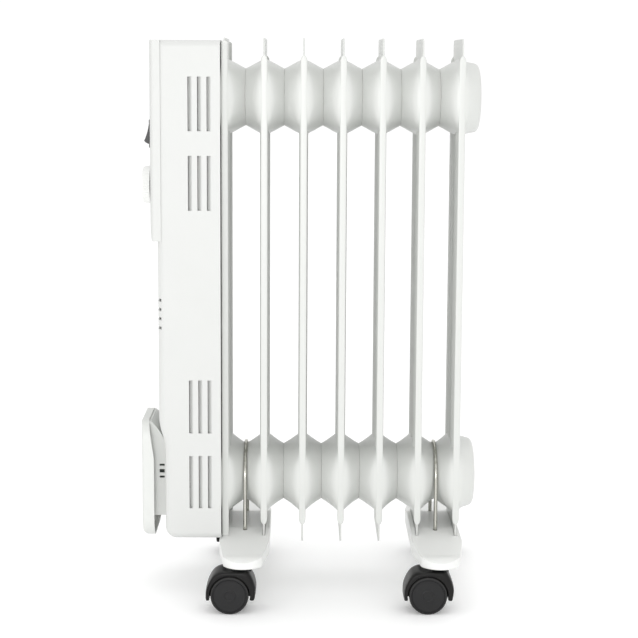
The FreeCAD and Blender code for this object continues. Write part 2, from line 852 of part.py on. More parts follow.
def rocker(y):
    """A rocker with a hollowed face, drawn level and then tipped to its rest position."""
    end = rocker_half_tall
    tip = end - 2.0

    def p(forward, across):
        return Vector(pivot_x - forward, y - rocker_half_wide, switch_height + across)

    edges = [
        arc(p(9.2, tip), p(8.3, 0.0), p(9.2, -tip)),
        arc(p(9.2, -tip), p(6.2, -end + 0.5), p(2.5, -end)),
        line(p(2.5, -end), p(-2.0, -end + 1.6)),
        line(p(-2.0, -end + 1.6), p(-5.0, -3.0)),
        line(p(-5.0, -3.0), p(-5.0, 3.0)),
        line(p(-5.0, 3.0), p(-2.0, end - 1.6)),
        line(p(-2.0, end - 1.6), p(2.5, end)),
        arc(p(2.5, end), p(6.2, end - 0.5), p(9.2, tip)),
    ]
    body = prism(edges, Vector(0, 2 * rocker_half_wide, 0))
    pin_half = switch_half_wide - 0.2
    pins = rod(rocker_pin_radius, (pivot_x, y - pin_half, switch_height), Y, 2 * pin_half)
    body = fuse(body, [pins])
    body.rotate(Vector(pivot_x, y, switch_height), Y, rocker_tilt)
    return body


def switch_body(y):
    """The frame and case that a rocker snaps into."""
    front = panel_x - switch_flange_thick
    half_t, half_w = switch_half_tall, switch_half_wide
    flange = box((front, front + switch_flange_thick),
                 (y - half_w - switch_flange, y + half_w + switch_flange),
                 (switch_height - half_t - switch_flange, switch_height + half_t + switch_flange))
    case = box((front, front + switch_depth), (y - half_w, y + half_w),
               (switch_height - half_t, switch_height + half_t))
    room = box((front - 1, front + switch_depth - 1.6),
               (y - half_w + switch_wall, y + half_w - switch_wall),
               (switch_height - half_t + 0.5, switch_height + half_t - 0.5))
    pivot = rod(rocker_pin_radius + running_gap, (pivot_x, y - half_w + 0.1, switch_height), Y,
                2 * half_w - 0.2)
    body = fuse(flange, [case])
    for tab in (-8.0, 0.0, 8.0):
        blade = box((front + switch_depth - 0.2, front + switch_depth + 7), (y - 2.4, y + 2.4),
                    (switch_height + tab - 0.4, switch_height + tab + 0.4))
        body = fuse(body, [blade])
    return body.cut(room).cut(pivot)


for name, y in zip(("right", "left"), switch_places):
    save(f"rocker_{name}", rocker(y))
    save(f"switch_case_{name}", switch_body(y))


# ---------------------------------------------------------------- small electrical pieces
gland_y = housing_half_width - housing_wall
gland = rod(gland_radius, (gland_x, gland_y - 7, gland_height), Y, 7 + housing_wall)
gland = fuse(
    gland,
    [
        rod(gland_flange_radius, (gland_x, housing_half_width, gland_height), Y,
            gland_flange_thick),
    ],
)
gland = gland.cut(rod(gland_bore, (gland_x, gland_y - 8, gland_height), Y, 20))
save("cord_gland", gland)

block_length = 36.0
block_depth = 13.0
block_x = plate_front - block_depth
block_z = (housing_low + housing_high) / 2 - 7
block = box((block_x, plate_front), (-block_length / 2, block_length / 2),
            (block_z - 8, block_z + 8))
for k in range(3):
    y = (k - 1) * 11.0
    block = block.cut(rod(2.2, (block_x - 1, y, block_z), X, 7))
    block = block.cut(rod(1.4, (block_x + 3.5, y, block_z - 9), Z, 20))
save("terminal_block", block)

cutout_radius = 8.0
cutout_z = header_high - 85.0
cutout_depth = 9.0
cutout_case = rod(cutout_radius, (plate_front, 0, cutout_z), -X, cutout_depth)
blades = [
    box((plate_front - cutout_depth - 7, plate_front - cutout_depth + 0.2),
        (y - 0.4, y + 0.4), (cutout_z - 3, cutout_z + 3))
    for y in (-4.0, 4.0)
]
save("thermal_cutout", fuse(cutout_case, blades))


# ---------------------------------------------------------------- feet
def foot_outline(inset, low, high):
    """The foot's plan: straight flanks, tapered ends and round noses."""
    wide = foot_half_width - inset
    nose = foot_nose_half - inset
    tip = foot_half_length - inset

    def p(x, y):
        return Vector(x, y, low)

    edges = []
    for s in (-1, 1):
        edges.append(
            arc(
                p(nose, s * foot_nose_start),
                p(0, s * tip),
                p(-nose, s * foot_nose_start),
            )
        )
        for t in (-1, 1):
            edges.append(line(p(t * nose, s * foot_nose_start), p(t * wide, s * foot_straight)))
    for t in (-1, 1):
        edges.append(line(p(t * wide, -foot_straight), p(t * wide, foot_straight)))
    return prism(edges, Vector(0, 0, high - low))


def foot_profile(inset):
    """The foot seen from the end of the row: a raised flat saddle and sloping arms."""
    wide = foot_half_width + 1
    base = foot_base if not inset else foot_base - 1
    tip = foot_half_length + 1

    def p(y, z):
        return Vector(-wide, y, z - inset if z > base + 0.01 else z)

    edges = [line(p(-tip, base), p(tip, base))]
    for s in (-1, 1):
        edges.append(line(p(s * tip, base), p(s * tip, foot_tip)))
        edges.append(
            arc(
                p(s * tip, foot_tip),
                p(s * (foot_nose_start + 6), foot_tip + 2.9),
                p(s * (foot_nose_start - 6), foot_shoulder),
            )
        )
        edges.append(
            arc(
                p(s * (foot_nose_start - 6), foot_shoulder),
                p(s * (foot_nose_start + foot_flat) / 2, foot_shoulder + 3.2),
                p(s * foot_flat, foot_top),
            )
        )
    edges.append(line(p(-foot_flat, foot_top), p(foot_flat, foot_top)))
    return prism(edges, Vector(2 * wide, 0, 0))


def band_pocket(side, wall):
    """Room in the foot for the end of the first fin's edge band, drawn larger by wall."""
    x = -fin_pitch / 2
    half = edge_band / 2 + slot_clear + wall
    y = sorted((side * (fin_width / 2 - sheet - slot_clear - wall),
                side * (fin_width / 2 + slot_clear + wall)))
    floor = fin_bottom + first_band_trim - slot_clear - wall
    return box((x - half, x + half), y, (floor, foot_top + 1))


def foot():
    """One moulded cross foot, centred on the gap between two fins."""
    body = foot_outline(0.0, foot_base, foot_top).common(foot_profile(0.0))
    room = foot_outline(foot_wall, foot_base - 1, foot_top).common(foot_profile(foot_wall))
    half_slot = sheet + slot_clear
    slot_end = fin_width / 2 + slot_clear
    socket = stem_radius + running_gap
    for t in (-1, 1):
        x = t * fin_pitch / 2
        room = room.cut(
            box((x - half_slot - rail_wall, x + half_slot + rail_wall),
                (-slot_end - rail_wall, slot_end + rail_wall), (foot_base - 2, foot_top))
        )
        room = room.cut(rod(ubolt_boss, (0, t * ubolt_radius, foot_top - 9), Z, 12))
        boss = rod(socket + 4.5, (0, t * caster_offset, foot_base + 0.5), Z, 20)
        room = room.cut(boss)
    pockets = [band_pocket(side, 0.0) for side in (-1, 1)]
    for side in (-1, 1):
        room = room.cut(band_pocket(side, rail_wall))
    body = body.cut(room)
    for pocket in pockets:
        body = body.cut(pocket)
    for t in (-1, 1):
        x = t * fin_pitch / 2
        body = body.cut(
            box((x - half_slot, x + half_slot), (-slot_end, slot_end), (fin_bottom, foot_top + 1))
        )
        body = body.cut(rod(ubolt_wire + hole_gap, (0, t * ubolt_radius, foot_base), Z, 30))
        body = body.cut(rod(socket, (0, t * caster_offset, foot_base - 1), Z, 9.6))
    flank = housing_half_width + 2 * touch_gap
    return body.cut(
        box((-foot_half_width - 1, -foot_flank_step), (-flank, flank),
            (housing_low - 2 * touch_gap, foot_top + 1))
    )


foot_shape = foot()
ubolt_centre = header_low + collar_radius + touch_gap + ubolt_wire - ubolt_radius
nut_seat = foot_top - 9


def ubolt():
    """A wire bent over the lower header, its legs through the foot."""
    left = Vector(0, -ubolt_radius, ubolt_end)
    right = Vector(0, ubolt_radius, ubolt_end)
    path = Part.Wire(
        [
            line(left, Vector(0, -ubolt_radius, ubolt_centre)),
            arc(
                Vector(0, -ubolt_radius, ubolt_centre),
                Vector(0, 0, ubolt_centre + ubolt_radius),
                Vector(0, ubolt_radius, ubolt_centre),
            ),
            line(Vector(0, ubolt_radius, ubolt_centre), right),
        ]
    )
    section = Part.Wire([Part.Circle(left, Z, ubolt_wire).toShape()])
    return path.makePipeShell([section], True, False)


def wing_nut(y):
    """A pressed nut with two wings, screwed up against the foot."""
    core = rod(wing_nut_radius, (0, y, nut_seat), -Z, wing_nut_height)
    wings = box((-wing_span, wing_span), (y - wing_thick / 2, y + wing_thick / 2),
                (nut_seat - wing_nut_height - 3, nut_seat - 1))
    nut = fuse(core, [wings])
    return nut.cut(rod(ubolt_wire + snug_gap, (0, y, nut_seat + 1), -Z, 20))


bolt = ubolt()
save("foot_front", at(foot_shape, foot_x[0]))
turned_foot = foot_shape.copy()
turned_foot.rotate(Vector(0, 0, 0), Z, 180)
save("foot_rear", at(turned_foot, foot_x[1]))
save("u_bolts", *[at(bolt, x) for x in foot_x])
save(
    "wing_nuts",
    *[at(wing_nut(y), x) for x in foot_x for y in (-ubolt_radius, ubolt_radius)],
)


# ---------------------------------------------------------------- casters
neck_top = foot_base + 0.5 - touch_gap
wheel_start = hood_web / 2 + side_gap


def caster_hood():
    """A fender over two wheels with a web between them and a neck for the stem."""

    def p(x, z):
        return Vector(x - caster_trail, -hood_half_width, axle_z + z)

    back, front = hood_outer, hood_outer + hood_bulge
    crest = hood_outer
    shell = Part.BSplineCurve()
    shell.interpolate(
        [
            p(-back, hood_lip - axle_z),
            p(-back + 0.5, 0.2 * crest),
            p(-back + 3.4, 0.54 * crest),
            p(-back + 8.4, 0.83 * crest),
            p(-back + 15.5, crest),
        ]
    )
    brow = Part.BSplineCurve()
    brow.interpolate(
        [
            p(caster_trail + neck_radius, crest),
            p(caster_trail + neck_radius + 1.4, 0.82 * crest),
            p(front - 1.6, 0.5 * crest),
            p(front, 0.2 * crest),
            p(front - 1.6, hood_lip - axle_z),
        ]
    )
    body = prism(
        [
            shell.toShape(),
            line(p(-back + 15.5, crest), p(caster_trail + neck_radius, crest)),
            brow.toShape(),
            line(p(front - 1.6, hood_lip - axle_z), p(-back, hood_lip - axle_z)),
        ],
        Vector(0, 2 * hood_half_width, 0),
    )
    body = body.makeFillet(hood_round, [e for e in body.Edges if e.BoundBox.YLength < 0.01
                                        and e.BoundBox.ZMax > hood_lip + 1])
    neck = rod(neck_radius, (0, 0, axle_z + 4), Z, neck_top - axle_z - 4)
    body = fuse(body, [neck])
    for s in (-1, 1):
        room = rod(hood_inner, (-caster_trail, s * hood_web / 2, axle_z), Y * s, wheel_width + 6)
        body = body.cut(room)
    body = body.cut(rod(axle_radius + snug_gap, (-caster_trail, -20, axle_z), Y, 40))
    return body.cut(rod(stem_radius + snug_gap, (0, 0, neck_top + 1), -Z, stem_depth + 1))


def wheel(side):
    """A solid wheel with a recessed disc and a blind bore from its inner face."""
    start = (-caster_trail, side * wheel_start, axle_z)
    body = rod(wheel_radius, start, Y * side, wheel_width)
    body = body.makeFillet(1.2, [e for e in body.Edges if e.Curve.TypeId == "Part::GeomCircle"])
    outer = (-caster_trail, side * (wheel_start + wheel_width), axle_z)
    body = body.cut(ring(wheel_radius - 2.2, wheel_radius - 3.2, outer, -Y * side, 0.6))
    return body.cut(
        rod(axle_radius + running_gap, start, Y * side, wheel_width - wheel_cap)
    )


hood = caster_hood()
wheels = {"outer": wheel(1), "inner": wheel(-1)}
stem_top = foot_base + 8.0
stem_low = neck_top - stem_depth + touch_gap
stem = rod(stem_radius, (0, 0, stem_low), Z, stem_top - stem_low)
axle_half = wheel_start + wheel_width - wheel_cap - touch_gap
axle = rod(axle_radius, (-caster_trail, -axle_half, axle_z), Y, 2 * axle_half)
for end, x in zip(("front", "rear"), foot_x):
    for hand, side in (("right", -1), ("left", 1)):
        name = f"caster_{end}_{hand}"
        y = side * caster_offset
        turned = name == turned_caster

        def placed(shape):
            moved = at(shape, x, y)
            if turned:
                moved.rotate(Vector(x, y, 0), Z, 180)
            return moved

        save(f"{name}_hood", placed(hood))
        save(f"{name}_stem", placed(stem))
        save(f"{name}_axle", placed(axle))
        left_out = (side > 0) != turned
        save(f"{name}_wheel_outer", placed(wheels["outer" if left_out else "inner"]))
        save(f"{name}_wheel_inner", placed(wheels["inner" if left_out else "outer"]))
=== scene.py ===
# %% [markdown]
# # An oil filled column heater
#
# This lesson dresses a finished mechanical model of a small column heater on casters.  The
# mechanical model gives every piece its place and its size.  What it lacks is what a painter and
# a toolmaker add: soft pressings, rolled edges, moulded ribs, enamel, grained plastic and
# plated wire.  Each step below builds one kind of piece or one finish.
#
# All lengths are in metres, +Z is up, the floor is at Z = 0, +X runs from the controls to the
# last fin, and the side a person sees first is the one facing -Y.

# %% Load the frame
import json
import math

import bpy
import numpy as np
from mathutils import Matrix, Vector


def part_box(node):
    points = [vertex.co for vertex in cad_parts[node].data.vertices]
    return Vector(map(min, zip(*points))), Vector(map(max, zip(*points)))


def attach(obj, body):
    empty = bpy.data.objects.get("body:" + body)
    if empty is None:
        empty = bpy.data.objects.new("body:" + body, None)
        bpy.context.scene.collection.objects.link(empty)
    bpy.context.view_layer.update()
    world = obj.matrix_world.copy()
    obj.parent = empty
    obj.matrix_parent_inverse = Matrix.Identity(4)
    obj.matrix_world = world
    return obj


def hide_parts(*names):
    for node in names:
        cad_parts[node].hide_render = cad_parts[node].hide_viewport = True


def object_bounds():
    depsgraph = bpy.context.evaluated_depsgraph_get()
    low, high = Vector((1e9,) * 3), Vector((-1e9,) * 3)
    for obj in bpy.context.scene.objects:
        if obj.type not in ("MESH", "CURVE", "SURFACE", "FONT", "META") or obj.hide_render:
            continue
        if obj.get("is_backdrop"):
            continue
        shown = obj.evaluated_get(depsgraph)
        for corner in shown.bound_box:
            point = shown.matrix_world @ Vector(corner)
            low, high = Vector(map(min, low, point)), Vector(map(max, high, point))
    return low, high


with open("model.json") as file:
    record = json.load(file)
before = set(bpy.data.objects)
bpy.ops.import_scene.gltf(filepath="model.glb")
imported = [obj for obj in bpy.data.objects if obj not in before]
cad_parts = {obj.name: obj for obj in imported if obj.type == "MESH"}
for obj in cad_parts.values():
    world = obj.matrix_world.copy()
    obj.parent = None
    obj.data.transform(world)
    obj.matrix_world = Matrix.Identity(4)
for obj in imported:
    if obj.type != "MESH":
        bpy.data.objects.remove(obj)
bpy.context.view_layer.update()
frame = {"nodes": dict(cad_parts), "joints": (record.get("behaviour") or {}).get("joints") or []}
mm = 0.001

# %% [markdown]
# ## Camera
#
# The heater is seen from its side through a long lens, from about 1.6 metres away and just
# under the height of the fins' tops.  A long lens keeps the fins parallel.  The camera tips
# down by about seven degrees, and a small lens shift brings the casters into the picture, so
# that upright edges stay nearly upright.  A camera could also be aimed with a Track To
# constraint, but a matrix from an aim direction and a roll is easier to adjust to a tenth of a
# degree.

# %% Camera
def aimed(place, pitch, yaw, roll):
    """A camera matrix that looks along +Y, tipped down by pitch and turned by yaw, in degrees."""
    turn = Matrix.Rotation(math.radians(-yaw), 4, "Z")
    tip = Matrix.Rotation(math.radians(90 - pitch), 4, "X")
    lean = Matrix.Rotation(math.radians(roll), 4, "Z")
    return Matrix.Translation(place) @ turn @ tip @ lean


camera = bpy.data.objects.new("side_camera", bpy.data.cameras.new("side_camera"))
camera.data.lens = 87.9
camera.data.sensor_width = 36.0
camera.data.shift_y = -0.086
camera.matrix_world = aimed(Vector((-0.0062, -1.7064, 0.5753)), 7.235, 0.594, 0.3)
bpy.context.scene.collection.objects.link(camera)
bpy.context.scene.camera = camera
print("camera lens", camera.data.lens)

# %% [markdown]
# ## Light
#
# The heater is white and stands in a white studio, so its form is read almost only from soft
# shade.  An even white surround lights it from all sides, and one soft panel in front, a little
# to the left and not much above the headers, lifts every face that looks at the camera.  The
# slanted faces of the dishes catch less of it, so they turn grey by themselves.  A weak wide
# panel overhead lifts the floor and the tops.  Small hard lamps would draw shadows on the fins
# that a softly lit product never shows.

# %% Surround, lamps and floor
world = bpy.data.worlds.new("white_surround")
bpy.context.scene.world = world
world.use_nodes = True
world.node_tree.nodes["Background"].inputs["Color"].default_value = (1.0, 1.0, 1.0, 1.0)
world.node_tree.nodes["Background"].inputs["Strength"].default_value = 1.03
bpy.context.scene.view_settings.view_transform = "Standard"


def soft_panel(name, place, target, size, watts):
    """A square area lamp that faces a point."""
    lamp = bpy.data.lights.new(name, "AREA")
    lamp.shape = "SQUARE"
    lamp.size = size
    lamp.energy = watts
    holder = bpy.data.objects.new(name, lamp)
    holder.location = place
    aim = Vector(target) - Vector(place)
    holder.rotation_euler = aim.to_track_quat("-Z", "Y").to_euler()
    bpy.context.scene.collection.objects.link(holder)


lamp_target = (0.0, 0.0, 0.3)
soft_panel("key_panel", (-0.35, -3.0, 0.65), lamp_target, 0.9, 25)
soft_panel("top_panel", (0.2, 0.3, 2.6), lamp_target, 2.0, 6)
print("lamps", len(bpy.data.lights))

# %% [markdown]
# ## Shader sums as plain Python
#
# A finish is a small sum over noise and coordinates.  Written node by node it is hard to read,
# so a wire from the shader editor is wrapped in a class that knows + - * and **, the first three
# from either side.  Each operator adds one Math node.  Everything that isn't a sum goes through
# one method of the finish, which takes a node's type, its settings and its sockets.

# %% A wire that can be added and multiplied
class Wire:
    """An output socket of a material, usable in sums."""

    def __init__(self, finish, socket):
        self.finish, self.socket = finish, socket

    def _sum(self, operation, first, second):
        node = self.finish.node("ShaderNodeMath", {"operation": operation}, {0: first, 1: second})
        return node[0]

    def __add__(self, other):
        return self._sum("ADD", self, other)

    __radd__ = __add__

    def __sub__(self, other):
        return self._sum("SUBTRACT", self, other)

    def __rsub__(self, other):
        return self._sum("SUBTRACT", other, self)

    def __mul__(self, other):
        return self._sum("MULTIPLY", self, other)

    __rmul__ = __mul__

    def __pow__(self, other):
        return self._sum("POWER", self, other)

    def __abs__(self):
        return self.finish.node("ShaderNodeMath", {"operation": "ABSOLUTE"}, {0: self})[0]

    def below(self, limit):
        """1 where the value is under a limit, else 0."""
        return self._sum("LESS_THAN", self, limit)


print("wire sums ready")


# %% A finish: one material and the ways to add to it
class Finish:
    """A material built from noise, sums and a few constants."""

    def __init__(self, name, **constants):
        self.material = bpy.data.materials.new(name)
        self.material.use_nodes = True
        self.tree = self.material.node_tree
        self.surface = self.tree.nodes["Principled BSDF"]
        for socket, value in constants.items():
            self.surface.inputs[socket.replace("_", " ")].default_value = value
        self.made = 0

    def node(self, kind, settings=None, sockets=None):
        """Adds a node: its settings first, then the values or wires of its sockets."""
        node = self.tree.nodes.new(kind)
        self.made += 1
        node.location = (-220 * (self.made % 6) - 260, 260 - 180 * (self.made // 6))
        for setting, value in (settings or {}).items():
            setattr(node, setting, value)
        for key, value in (sockets or {}).items():
            if isinstance(value, Wire):
                self.tree.links.new(value.socket, node.inputs[key])
            else:
                node.inputs[key].default_value = value
        return [Wire(self, socket) for socket in node.outputs]

    def feed(self, socket, wire):
        self.tree.links.new(wire.socket, self.surface.inputs[socket])

    def place(self):
        """Where a point lies on its own piece, in metres."""
        return self.node("ShaderNodeTexCoord")[3]

    def noise(self, size, detail=2.0, stretch=None):
        """Cloudy noise from 0 to 1 whose lumps are about size metres across."""
        where = self.place()
        if stretch:
            where = self.node("ShaderNodeMapping", {"vector_type": "POINT"},
                              {"Vector": where, "Scale": stretch})[0]
        return self.node("ShaderNodeTexNoise", {"noise_dimensions": "3D"},
                         {"Vector": where, "Scale": 1.0 / size, "Detail": detail,
                          "Roughness": 0.55})[0]

    def tints(self, share, low, high):
        """A colour between two tints."""
        return self.node("ShaderNodeMix", {"data_type": "RGBA"},
                         {0: share, 6: (*low, 1.0), 7: (*high, 1.0)})[2]

    def relief(self, height, depth, edge=0.0):
        """Bumps the surface by a height from 0 to 1, and rounds its edges by edge metres."""
        sockets = {"Height": height, "Strength": 1.0, "Distance": depth}
        if edge:
            sockets["Normal"] = self.node("ShaderNodeBevel", {"samples": 4}, {"Radius": edge})[0]
        self.feed("Normal", self.node("ShaderNodeBump", None, sockets)[0])


print("shader helpers ready")

# %% [markdown]
# ## Powder enamel on the fins
#
# The fins are steel pressings with a baked powder coat.  The powder flows before it cures, so
# the surface has a faint orange peel with lumps a bit over a millimetre across, and a soft
# gloss that varies a little with the film's thickness.  A plain glossy white would look like
# glazed china.  Noise in the roughness and a shallow bump give the powder its depth.

# %% Powder enamel
def powder_enamel():
    finish = Finish("powder_enamel", Coat_Weight=0.18, Coat_Roughness=0.22, IOR=1.5)
    cloud = finish.noise(0.06, 3.0)
    peel = finish.noise(0.0016, 2.0)
    finish.feed("Base Color", finish.tints(cloud, (0.6, 0.612, 0.59), (0.63, 0.64, 0.62)))
    finish.feed("Roughness", 0.34 + 0.1 * cloud + 0.06 * peel)
    finish.relief(peel, 0.00006)
    return finish.material


enamel = powder_enamel()
print("finish", enamel.name)

# %% [markdown]
# ## Moulded plastics
#
# The housing, winder and knob are white moulded plastic with a fine spark-eroded grain, and the
# feet are the same plastic from a smoother tool.  The knob, feet and winder are given a lighter
# white than the housing: painted light that lifts their shaded faces.  Grain under a millimetre
# breaks up the gloss, while a broad cloud stands for the slight tone change of a thick moulding.
# Edges of a moulding are never knife sharp, so the shader also rounds them by a few tenths of a
# millimetre.

# %% White and black mouldings
def moulding(name, low, high, rough, grain, depth, edge, cloud_size=0.05, **constants):
    finish = Finish(name, **constants)
    cloud = finish.noise(cloud_size, 2.0)
    fine = finish.noise(grain, 1.0)
    finish.feed("Base Color", finish.tints(cloud, low, high))
    finish.feed("Roughness", rough[0] + (rough[1] - rough[0]) * fine)
    finish.relief(fine, depth, edge)
    return finish.material


shell_white = moulding("shell_white", (0.6, 0.607, 0.593), (0.62, 0.627, 0.613), (0.4, 0.52),
                       0.0004, 0.00002, 0.0005, IOR=1.47)
# The knob's white is lighter than the housing's: painted light that lifts its shaded ribbed rim.
knob_white_painted_light = moulding("knob_white_painted_light", (0.78, 0.785, 0.77), (0.8, 0.805, 0.79), (0.3, 0.4),
                      0.0006, 0.00001, 0.0003, IOR=1.49)
# The feet's white is lighter than the housing's: painted light that lifts their shaded sloping
# tops.
foot_white_painted_light = moulding("foot_white_painted_light", (0.76, 0.767, 0.75), (0.78, 0.787, 0.77), (0.3, 0.42),
                      0.0008, 0.00002, 0.0008, IOR=1.49)
switch_black = moulding("switch_black", (0.006, 0.006, 0.0065), (0.011, 0.011, 0.0115),
                        (0.22, 0.32), 0.0005, 0.00001, 0.0003, IOR=1.36)
case_black = moulding("case_black", (0.02, 0.02, 0.021), (0.035, 0.034, 0.033), (0.4, 0.55),
                      0.0005, 0.00002, 0.0002, IOR=1.48)
print("mouldings", shell_white.name, foot_white_painted_light.name, switch_black.name)


# %% Winder plastic with painted light and painted shade in its slots
def winder_plastic_painted_light_and_shade(slot_low, slot_high):
    """Painted light in its white, painted shade in the box between two corners and its mirror
    image.
    """
    finish = Finish("winder_plastic_painted_light_and_shade", IOR=1.47)
    cloud = finish.noise(0.05, 2.0)
    fine = finish.noise(0.0004, 1.0)
    # The box is painted nearly black: painted shade in the winder's cord slots.
    inside = 1.0
    for along, low, high in zip(finish.node("ShaderNodeSeparateXYZ", None, {0: finish.place()}),
                                slot_low, slot_high):
        inside = abs(abs(along) - (low + high) / 2).below((high - low) / 2) * inside
    # Lighter than the housing's white: painted light on the winder's faces.
    plain = finish.tints(cloud, (0.66, 0.672, 0.65), (0.68, 0.69, 0.67))
    finish.feed("Base Color", finish.node("ShaderNodeMix", {"data_type": "RGBA"},
                                          {0: inside, 6: plain, 7: (0.02, 0.03, 0.02, 1.0)})[2])
    finish.feed("Roughness", 0.4 + 0.12 * fine)
    finish.relief(fine, 0.00002, 0.0005)
    return finish.material


print("winder plastic ready")

# %% [markdown]
# ## Caster nylon
#
# Caster hoods and wheels are black nylon.  The hood keeps its moulded sheen.  A wheel's tread
# rolls over floors, so it is dull and carries pale dust near its rim.  Each wheel's own
# coordinates start at its axle, so distance from the axle picks out the tread.

# %% Caster nylon and tread
hood_black = moulding("hood_black", (0.006, 0.006, 0.006), (0.012, 0.0115, 0.011), (0.3, 0.42),
                      0.0007, 0.00003, 0.0004, cloud_size=0.02, IOR=1.27)


def wheel_nylon(tread_radius):
    finish = Finish("wheel_nylon", IOR=1.34)
    x, _, z = finish.node("ShaderNodeSeparateXYZ", None, {0: finish.place()})
    from_axle = (x * x + z * z) ** 0.5
    tread = finish.node("ShaderNodeMapRange", {"interpolation_type": "SMOOTHSTEP"},
                        {0: from_axle, 1: tread_radius - 0.0016, 2: tread_radius - 0.0002})[0]
    scuff = finish.noise(0.0025, 3.0)
    dust = tread * scuff * 0.55
    finish.feed("Base Color", finish.tints(dust, (0.012, 0.012, 0.0125), (0.09, 0.088, 0.083)))
    finish.feed("Roughness", 0.4 + 0.22 * tread + 0.08 * scuff)
    finish.relief(scuff, 0.00004)
    return finish.material


print("finish", hood_black.name)

# %% [markdown]
# ## Metals and small pieces
#
# The U-bolts, nuts and screws are zinc plated: silvery with an olive cast.  On the U-bolts, dark
# and light streaks drawn along the wire are partly plating grain and partly painted reflections.
# The heating tubes are darker steel, the plug is turned brass, the gasket is red fibre and the end
# beads are unglazed ceramic.  Most of these sit inside, but a close look at the open heater should
# still find the right stuff.

# %% Metals, fibre and ceramic
def metal(name, low, high, rough, size, depth, stretch=None, edge=0.0):
    finish = Finish(name, Metallic=1.0)
    streak = finish.noise(size, 3.0, stretch)
    finish.feed("Base Color", finish.tints(streak, low, high))
    finish.feed("Roughness", rough[0] + (rough[1] - rough[0]) * streak)
    finish.relief(streak, depth, edge)
    return finish.material


# U-bolt zinc: its dark and light streaks along the wire are partly plating grain and partly
# painted reflections.
zinc = metal("zinc_plate_painted_reflections", (0.2, 0.2, 0.16), (0.84, 0.83, 0.78), (0.14, 0.3), 0.0022, 0.00002,
             (1.0, 1.0, 0.06))
screw_zinc = metal("screw_zinc", (0.52, 0.51, 0.46), (0.72, 0.71, 0.67), (0.24, 0.4), 0.001,
                   0.00001, None, 0.0002)
tube_steel = metal("tube_steel", (0.2, 0.2, 0.2), (0.36, 0.35, 0.34), (0.35, 0.5), 0.003,
                   0.00002, (0.15, 1.0, 1.0))
turned_brass = metal("turned_brass", (0.62, 0.47, 0.2), (0.78, 0.62, 0.32), (0.22, 0.36), 0.001,
                     0.00002, (4.0, 0.3, 0.3), 0.0003)
red_fibre = moulding("red_fibre", (0.33, 0.07, 0.05), (0.45, 0.12, 0.08), (0.75, 0.9), 0.0006,
                     0.00006, 0.0001)
bare_ceramic = moulding("bare_ceramic", (0.78, 0.75, 0.68), (0.88, 0.86, 0.8), (0.7, 0.85),
                        0.0005, 0.00003, 0.0002)
mark_grey = moulding("mark_grey", (0.16, 0.165, 0.17), (0.2, 0.205, 0.21), (0.45, 0.55), 0.0004,
                     0.00001, 0.0)
mark_white = moulding("mark_white", (0.8, 0.8, 0.8), (0.86, 0.86, 0.86), (0.4, 0.5), 0.0004,
                      0.00001, 0.0)
print("metals", zinc.name, tube_steel.name, turned_brass.name)

# %% [markdown]
# ## Turning arrays into pieces
#
# Pressings and turned pieces are surfaces with a rule: a height over a grid, or a profile swept
# round an axis.  Working the points out as arrays and joining neighbours into quads gives clean
# meshes at once, where modelling by hand or with booleans would leave ragged ones.  Two
# helpers are enough: one joins a table of points into quads, and one makes the object.

# %% Mesh helpers
def table_faces(rows, columns, start=0, closed=False, flip=False):
    """Quads that join a table of points; closed also joins the last column to the first."""
    faces = []
    for r in range(rows - 1):
        for c in range(columns if closed else columns - 1):
            d = (c + 1) % columns
            quad = (start + r * columns + c, start + r * columns + d,
                    start + (r + 1) * columns + d, start + (r + 1) * columns + c)
            faces.append(quad[::-1] if flip else quad)
    return faces


class Pattern:
    """Points and faces gathered from several tables."""

    def __init__(self):
        self.points, self.faces = [], []

    def table(self, points, closed=False, flip=False, caps=False):
        rows, columns = points.shape[:2]
        start = len(self.points)
        self.points.extend(points.reshape(-1, 3).tolist())
        self.faces += table_faces(rows, columns, start, closed, flip)
        if caps:
            first = list(range(start, start + columns))
            last = list(range(start + (rows - 1) * columns, start + rows * columns))
            self.faces.append(tuple(first if flip else first[::-1]))
            self.faces.append(tuple(last[::-1] if flip else last))

    def mesh(self, name, sharp=38.0):
        mesh = bpy.data.meshes.new(name)
        mesh.from_pydata(self.points, [], self.faces)
        mesh.validate()
        mesh.shade_smooth()
        mesh.set_sharp_from_angle(angle=math.radians(sharp))
        return mesh


def piece(name, mesh, finish, body, stands_for=(), place=(0, 0, 0), turn=0.0):
    """An object from a mesh, put in place and given to its body."""
    thing = bpy.data.objects.new(name, mesh)
    thing.rotation_euler.z = turn
    if not mesh.materials:
        mesh.materials.append(finish)
    bpy.context.scene.collection.objects.link(thing)
    thing.location = place
    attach(thing, body)
    if stands_for:
        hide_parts(*stands_for)
    return thing


print("mesh helpers ready")

# %% [markdown]
# ## The pressed fins
#
# Each fin is two steel sheets pressed with an upper and a lower dish and three upright oil
# channels, then seam welded back to back.  The side edges are turned out into a narrow flange.
# The dishes run out flush with it, so that from the side each header shows as a row of soft
# almonds.  Neck meets neck half way between two fins in a small welded groove.
#
# A fin could be cut from a block with booleans, but pressings have no sharp corners.  So the
# sheet is a height over a grid, the dish is a stack of rings round the header's axis, and the
# flange is a rounded strip with tapered ends.

# %% Fin sizes, read from the frame
low_corner, high_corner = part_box("fin_4")
fin_half = high_corner.y
fin_low, fin_high = low_corner.z, high_corner.z
half_pitch = (high_corner.x - low_corner.x) / 2
fin_middles = []
for number in range(1, 8):
    a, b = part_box(f"fin_{number}")
    fin_middles.append(b.x - half_pitch if number < 7 else a.x + half_pitch)
bolt_low, bolt_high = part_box("u_bolts")
plug_low, plug_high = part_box("element_plug")
header_low = (plug_low.z + plug_high.z) / 2
header_high = fin_high - 63 * mm
sheet = 0.9 * mm
print("fins at", [round(x, 4) for x in fin_middles], "headers", header_low, header_high)

# %% Sheet with channels and weld track
channel_spacing, channel_half, channel_rise = 29 * mm, 10.2 * mm, 4 * mm
channel_fade = 12 * mm          # a channel dies out this far past a header's axis
weld_inset, weld_width, weld_depth = 5.5 * mm, 1.1 * mm, 0.3 * mm


